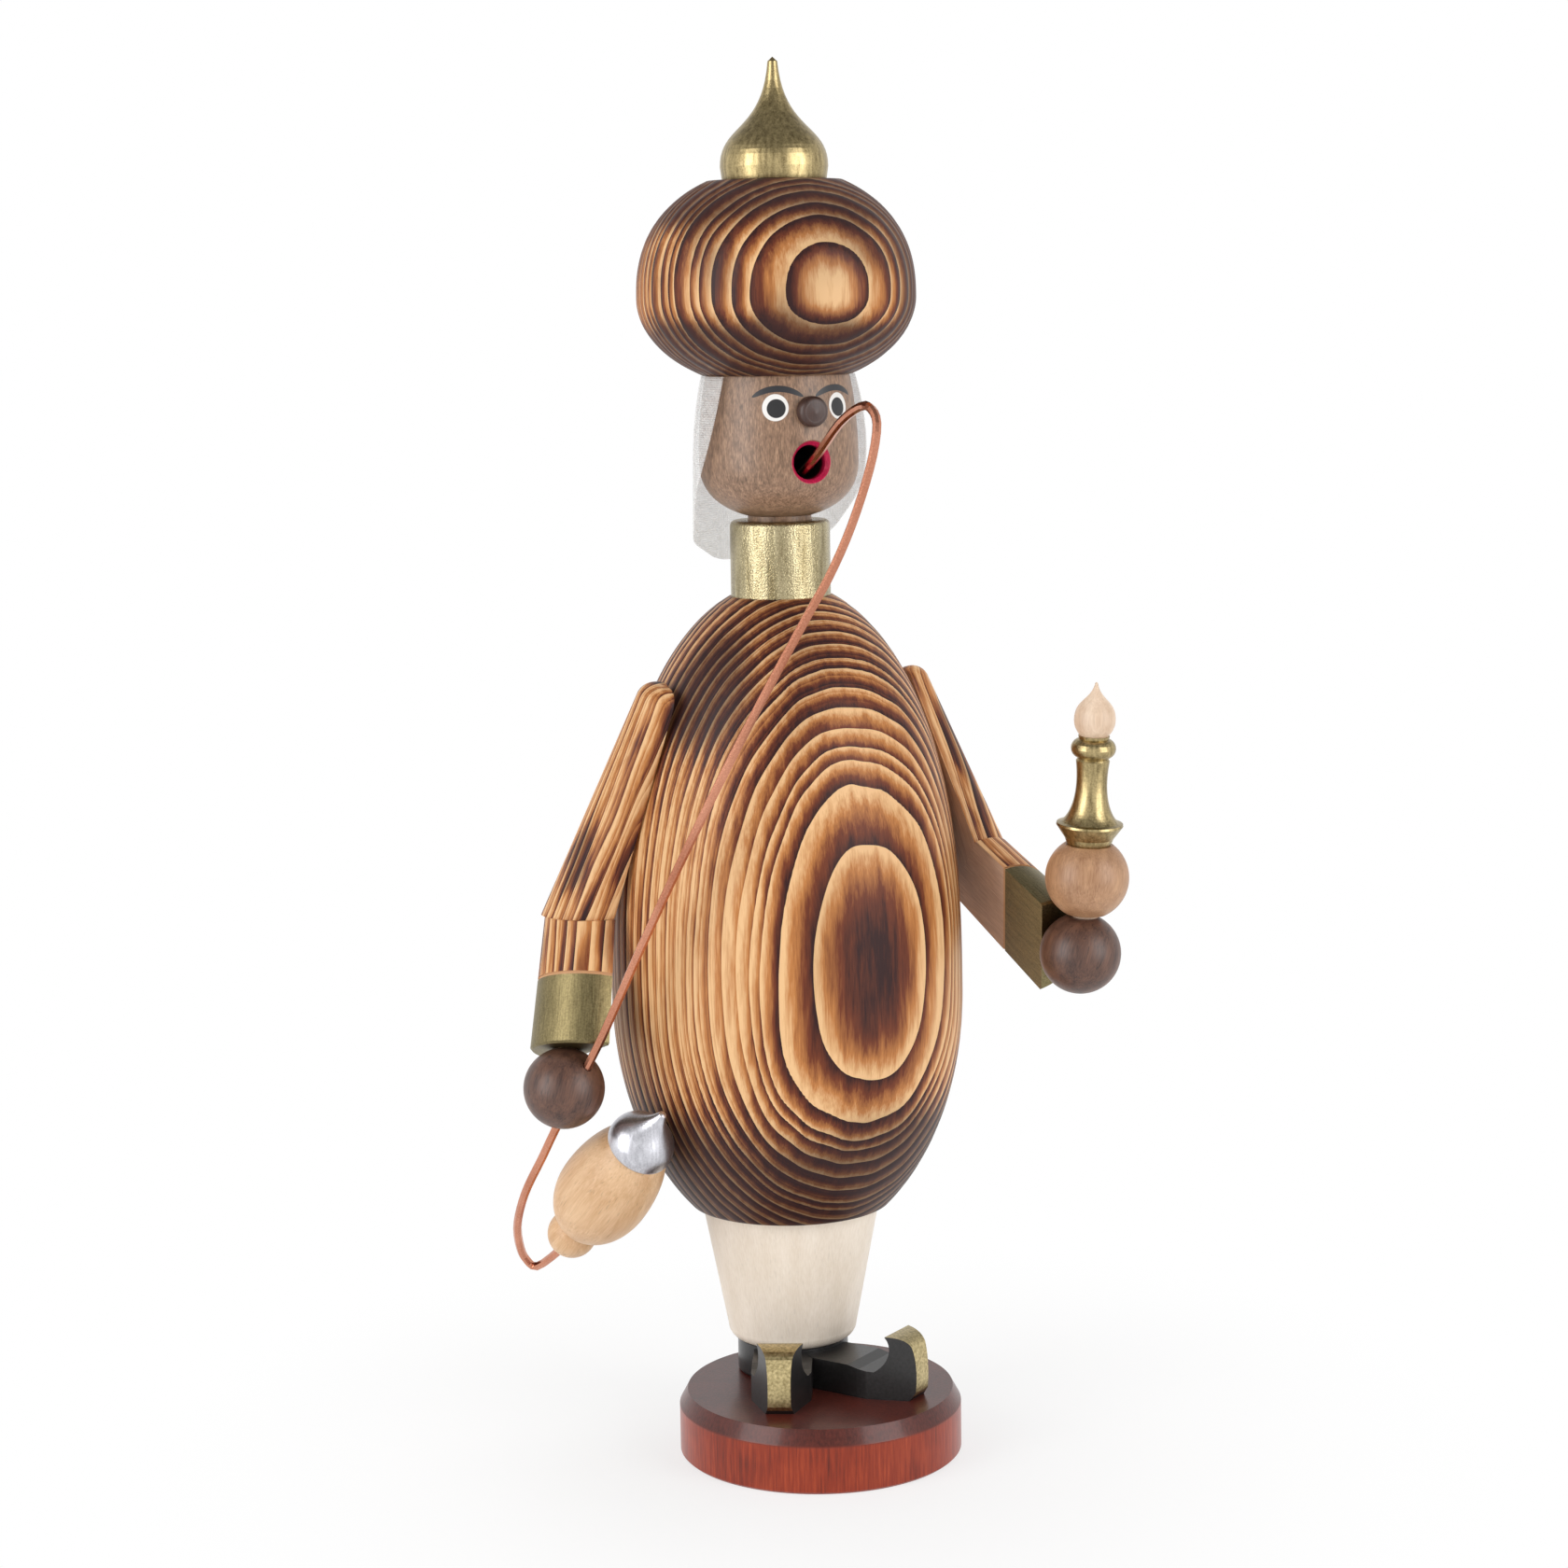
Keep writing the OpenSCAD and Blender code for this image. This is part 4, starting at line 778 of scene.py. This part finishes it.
# %% [markdown]
# The body's rings are seen nearly face on: their layers face a little to the figure's left, so a
# long oval eye lies on the belly and stripes run up the sides. The hollow for the smoke is turned
# in the same outline: bore, cone, channel, and the socket of the head's tenon.

# %% Body
BODY_TURN = 4.3  # degrees from the front to the middle of the rings
BODY_FOOT, BODY_TOP, BORE = 55.2, 196.3, 15.0
AIR_HOLE_Z, AIR_HOLE_R = 72.2, 3.0

body_outline = egg_outline(widest=40.5, low=(23.25, 49.7, 2.04), high=(11.8, 91.4, 2.56),
                           wide_z=104.9, step=0.8)
body_inside = [(5.6, BODY_TOP), (5.6, 187.2), (3.5, 187.2), (3.5, 170), (3.5, 151.2),
               (9.2, 145.2)]
body_inside += [(BORE, z) for z in (139.2, 125, 110, 95, 85, 78, AIR_HOLE_Z, 66, 60, BODY_FOOT)]
body_inside.append((19, BODY_FOOT))
body_mesh = turned("body", body_outline + body_inside, 360)


def body_outside(p):
    """1 on the outside, and falling to 0 towards foot, top and air hole."""
    if math.hypot(p.x, p.y - AXIS_Y) < BORE + 0.5 and p.z < 195:
        return 0.0
    fade = min(1.0, max(0.0, (p.z - BODY_FOOT - 0.1) / 1.2),
               max(0.0, (BODY_TOP - 0.1 - p.z) / 1.2))
    if p.y > AXIS_Y:
        fade = min(fade, max(0.0, (math.hypot(p.x, p.z - AIR_HOLE_Z) - AIR_HOLE_R - 0.4) / 1.5))
    return fade


def body_burn(p):
    """The flame was held longest at the foot, the shoulders and round the belly's eye."""
    bearing = from_front(p) - BODY_TURN
    belly = 0.32 * (1 - smooth(abs(bearing), 22, 50))
    top = 0.5 * smooth(p.z, 138, 176)
    foot = 1.3 * (1 - smooth(p.z, 64, 100))
    held = 0.55 * (1 - smooth(math.hypot((bearing + 66) / 34, (p.z - 177) / 19), 0.3, 1.0))
    patch = noise.noise(Vector((p.x / 16, p.y / 16, p.z / 30 + 2))) * 0.3 + held
    return min(1.1, max(0.02, 0.1 + max(belly, top, foot) + patch))


# Depths, from the front, at which one ring ends and the next starts
body_rings = [2.8, 6.4, 8.5, 9.8, 11.8, 14.2, 16.8, 19.9, 21.7, 24.5, 27.3, 30.2, 32.7, 35.2,
              38.9, 42.5, 46.4, 49.8, 52.4, 55.8]
body_eye = (0, AXIS_Y, 118.5)  # the middle of the rings, on the axis
brush_rings(body_mesh, body_eye, towards_viewer(BODY_TURN, lean=0.0253), bow=0.0035,
            depths=body_rings, deepest=40.4, is_outside=body_outside, burn_at=body_burn,
            flip=False, relief=0.13)

# %% [markdown]
# The arms are glued to flat places, so what stands past each arm's flat side is pressed back onto
# it. Then the air hole is opened: the faces inside its rim are deleted on the outer and the inner
# wall, the two rims are made round, and a bridge joins them.

# %% Arm seats and air hole
SEAT_X, SEAT_Z = 35.28, 157.59  # a place on each arm's flat side, right beside the axis

for side in (-1, 1):
    out = outwards(side)
    limit = Vector((side * SEAT_X, AXIS_Y, SEAT_Z)).dot(out) - 0.02
    for vert in body_mesh.verts:
        past = vert.co.dot(out) - limit
        if past > 0:
            vert.co -= out * past

hole = []
for face in body_mesh.faces:
    middle = face.calc_center_median()
    off_hole = math.hypot(middle.x, middle.z - AIR_HOLE_Z)
    if middle.y > AXIS_Y + 5 and off_hole < AIR_HOLE_R - 0.1:
        hole.append(face)
bmesh.ops.delete(body_mesh, geom=hole, context="FACES")
rims = [edge for edge in body_mesh.edges if edge.is_boundary]
for vert in {vert for edge in rims for vert in edge.verts}:
    off = Vector((vert.co.x, 0, vert.co.z - AIR_HOLE_Z))
    vert.co += off.normalized() * AIR_HOLE_R - off
joined = bmesh.ops.bridge_loops(body_mesh, edges=rims)
print("air hole bridged with", len(joined["faces"]), "faces")
bmesh.ops.recalc_face_normals(body_mesh, faces=body_mesh.faces)
finish_piece("body", body_mesh, ring_finish("scorched_body"), "figure", "scorched_wood",
             "body_shell")

# %% [markdown]
# The turban is an oblate ball from the same wood, but turned the other way up in the log, so its
# rings go from pale to dark as they go in.

# %% Turban
TURBAN_FOOT, TURBAN_TOP = 246.1, 289.0

turban_outline = egg_outline(widest=31.4, low=(17.0, 17.1, 1.98), high=(15.2, 25.8, 2.38),
                             wide_z=263.2, step=0.6)
turban_socket = [(2.6, TURBAN_TOP), (2.6, 281.0), (4.1, 260.2)]
turban_mesh = turned("turban", [(4.1, TURBAN_FOOT)] + turban_outline + turban_socket, 340)


def turban_outside(p):
    """1 on the outside, and falling to 0 at foot and top."""
    if math.hypot(p.x, p.y - AXIS_Y) < 14:
        return 0.0
    return min(1.0, max(0.0, p.z - TURBAN_FOOT - 0.1), max(0.0, TURBAN_TOP - 0.1 - p.z))


def turban_burn(p):
    """Scorched all over, and more at the foot, at the top and on the figure's left."""
    side = 0.5 * smooth(from_front(p) + 2, 24, 60)
    ends = max(0.7 * smooth(p.z, 274, 287), 1 - smooth(p.z, 249, 262))
    patch = noise.noise(Vector((p.x / 12, p.y / 12, p.z / 14 + 5))) * 0.35
    return min(1.1, max(0.05, 0.62 + max(side, ends) + patch))


turban_rings = [1.5, 4.8, 7.2, 10.4, 12.8, 14.8, 19.0, 20.8, 23.6, 27.9, 29.8, 32.6]
turban_eye = (0, AXIS_Y, 266.6)
brush_rings(turban_mesh, turban_eye, towards_viewer(-1.6, lean=0.03), bow=0.001,
            depths=turban_rings, deepest=31.3, is_outside=turban_outside, burn_at=turban_burn,
            flip=True, relief=0.24)
finish_piece("turban_ball", turban_mesh, ring_finish("scorched_turban", flip=True), "figure",
             "scorched_wood", "turban")

# %% [markdown]
# ## Veil
# The veil is a half oval of thin muslin, glued under the turban and hanging round the back of the
# head. It starts as a flat grid. Its points are laid round the head, with three soft folds on
# each side and small uneven waves, and the cloth gets its thickness from a modifier. The weave
# follows the cloth, so it reads the piece's own map, which is laid out in millimetres.

# %% Veil cloth
veil_length, veil_angle, veil_top = 43.0, 112.0, 245.9
head_wide, head_end, head_height = 18, 16.15, 19.2  # the head's upper half, from its widest part
veil_mesh = bmesh.new()
bmesh.ops.create_grid(veil_mesh, x_segments=110, y_segments=60, size=1)
cloth_map = veil_mesh.loops.layers.uv.new("cloth")
head_reach = egg_reach(head_wide, head_end, head_height, 2)
for vert in veil_mesh.verts:
    # u runs from edge to edge. k runs from 0 at the turban to nearly 1 at the hem, where the
    # rows lie closer together.
    u, k = vert.co.x, 0.988 * math.sin(math.pi / 4 * (1 - vert.co.y))
    bearing = u * veil_angle * math.sqrt(max(0.0, 1 - k ** 2))
    up_the_head = max(0.0, head_height - 0.4 - veil_length * k)
    radius = 0.55 + egg_radius(head_wide, head_reach, 2, up_the_head)
    fold = 0.5 * k * (1 - math.cos(math.radians(3 * bearing * 360 / veil_angle)))
    lift = 1.3 * abs(u) ** 3 * math.sin(math.pi * min(1.0, k + 0.1))
    ripple = 0.22 * k * noise.noise(Vector((bearing / 14, k * 1.5, 3)))
    r = radius + fold + lift + ripple + 0.1
    vert.co = (r * math.sin(math.radians(bearing)), AXIS_Y + r * math.cos(math.radians(bearing)),
               veil_top - veil_length * k)
veil_mesh.normal_update()
for face in veil_mesh.faces:
    for loop in face.loops:
        p = loop.vert.co
        loop[cloth_map].uv = (math.atan2(p.x, p.y - AXIS_Y) * 19, p.z)  # 19 mm: its radius
veil_area = sum(f.calc_area() for f in veil_mesh.faces)
print("veil area", round(veil_area), "mm2")
bmesh.ops.recalc_face_normals(veil_mesh, faces=veil_mesh.faces)

# %% Veil finish
THREAD = 0.5  # from one thread to the next

muslin, tree, shader = new_finish("muslin", Roughness=0.95, Sheen_Weight=0.2)
cloth = tree.nodes.new("ShaderNodeUVMap")
cloth.uv_map = "cloth"
threads = []
for direction in ((1, 0, 0), (0, 1, 0)):
    wave = num(tree, "SINE", num(tree, "MULTIPLY", dot(tree, cloth.outputs[0], direction),
                                 2 * math.pi / THREAD))
    threads.append(num(tree, "MULTIPLY_ADD", wave, 0.5, 0.5))
weave = num(tree, "MULTIPLY", threads[0], threads[1])
slubs = cloud(tree, cloth.outputs[0], 1.6, 2)
thick = num(tree, "MULTIPLY_ADD", slubs, 0.5, num(tree, "MULTIPLY_ADD", weave, -0.4, 0.35))
feed(tree, shader.inputs["Base Color"],
     ramp(tree, thick, [(0.1, srgb(238, 237, 236)), (0.6, srgb(252, 252, 251))]))
feed(tree, shader.inputs["Alpha"], num(tree, "MULTIPLY_ADD", thick, 0.5, 0.08, clamp=True))
raise_by(tree, shader, weave, 0.08)
veil = finish_piece("veil_cloth", veil_mesh, muslin, "figure", "muslin", "veil")
shell = veil.modifiers.new("thickness", "SOLIDIFY")
shell.thickness, shell.offset = 0.25 * MM, 1.0
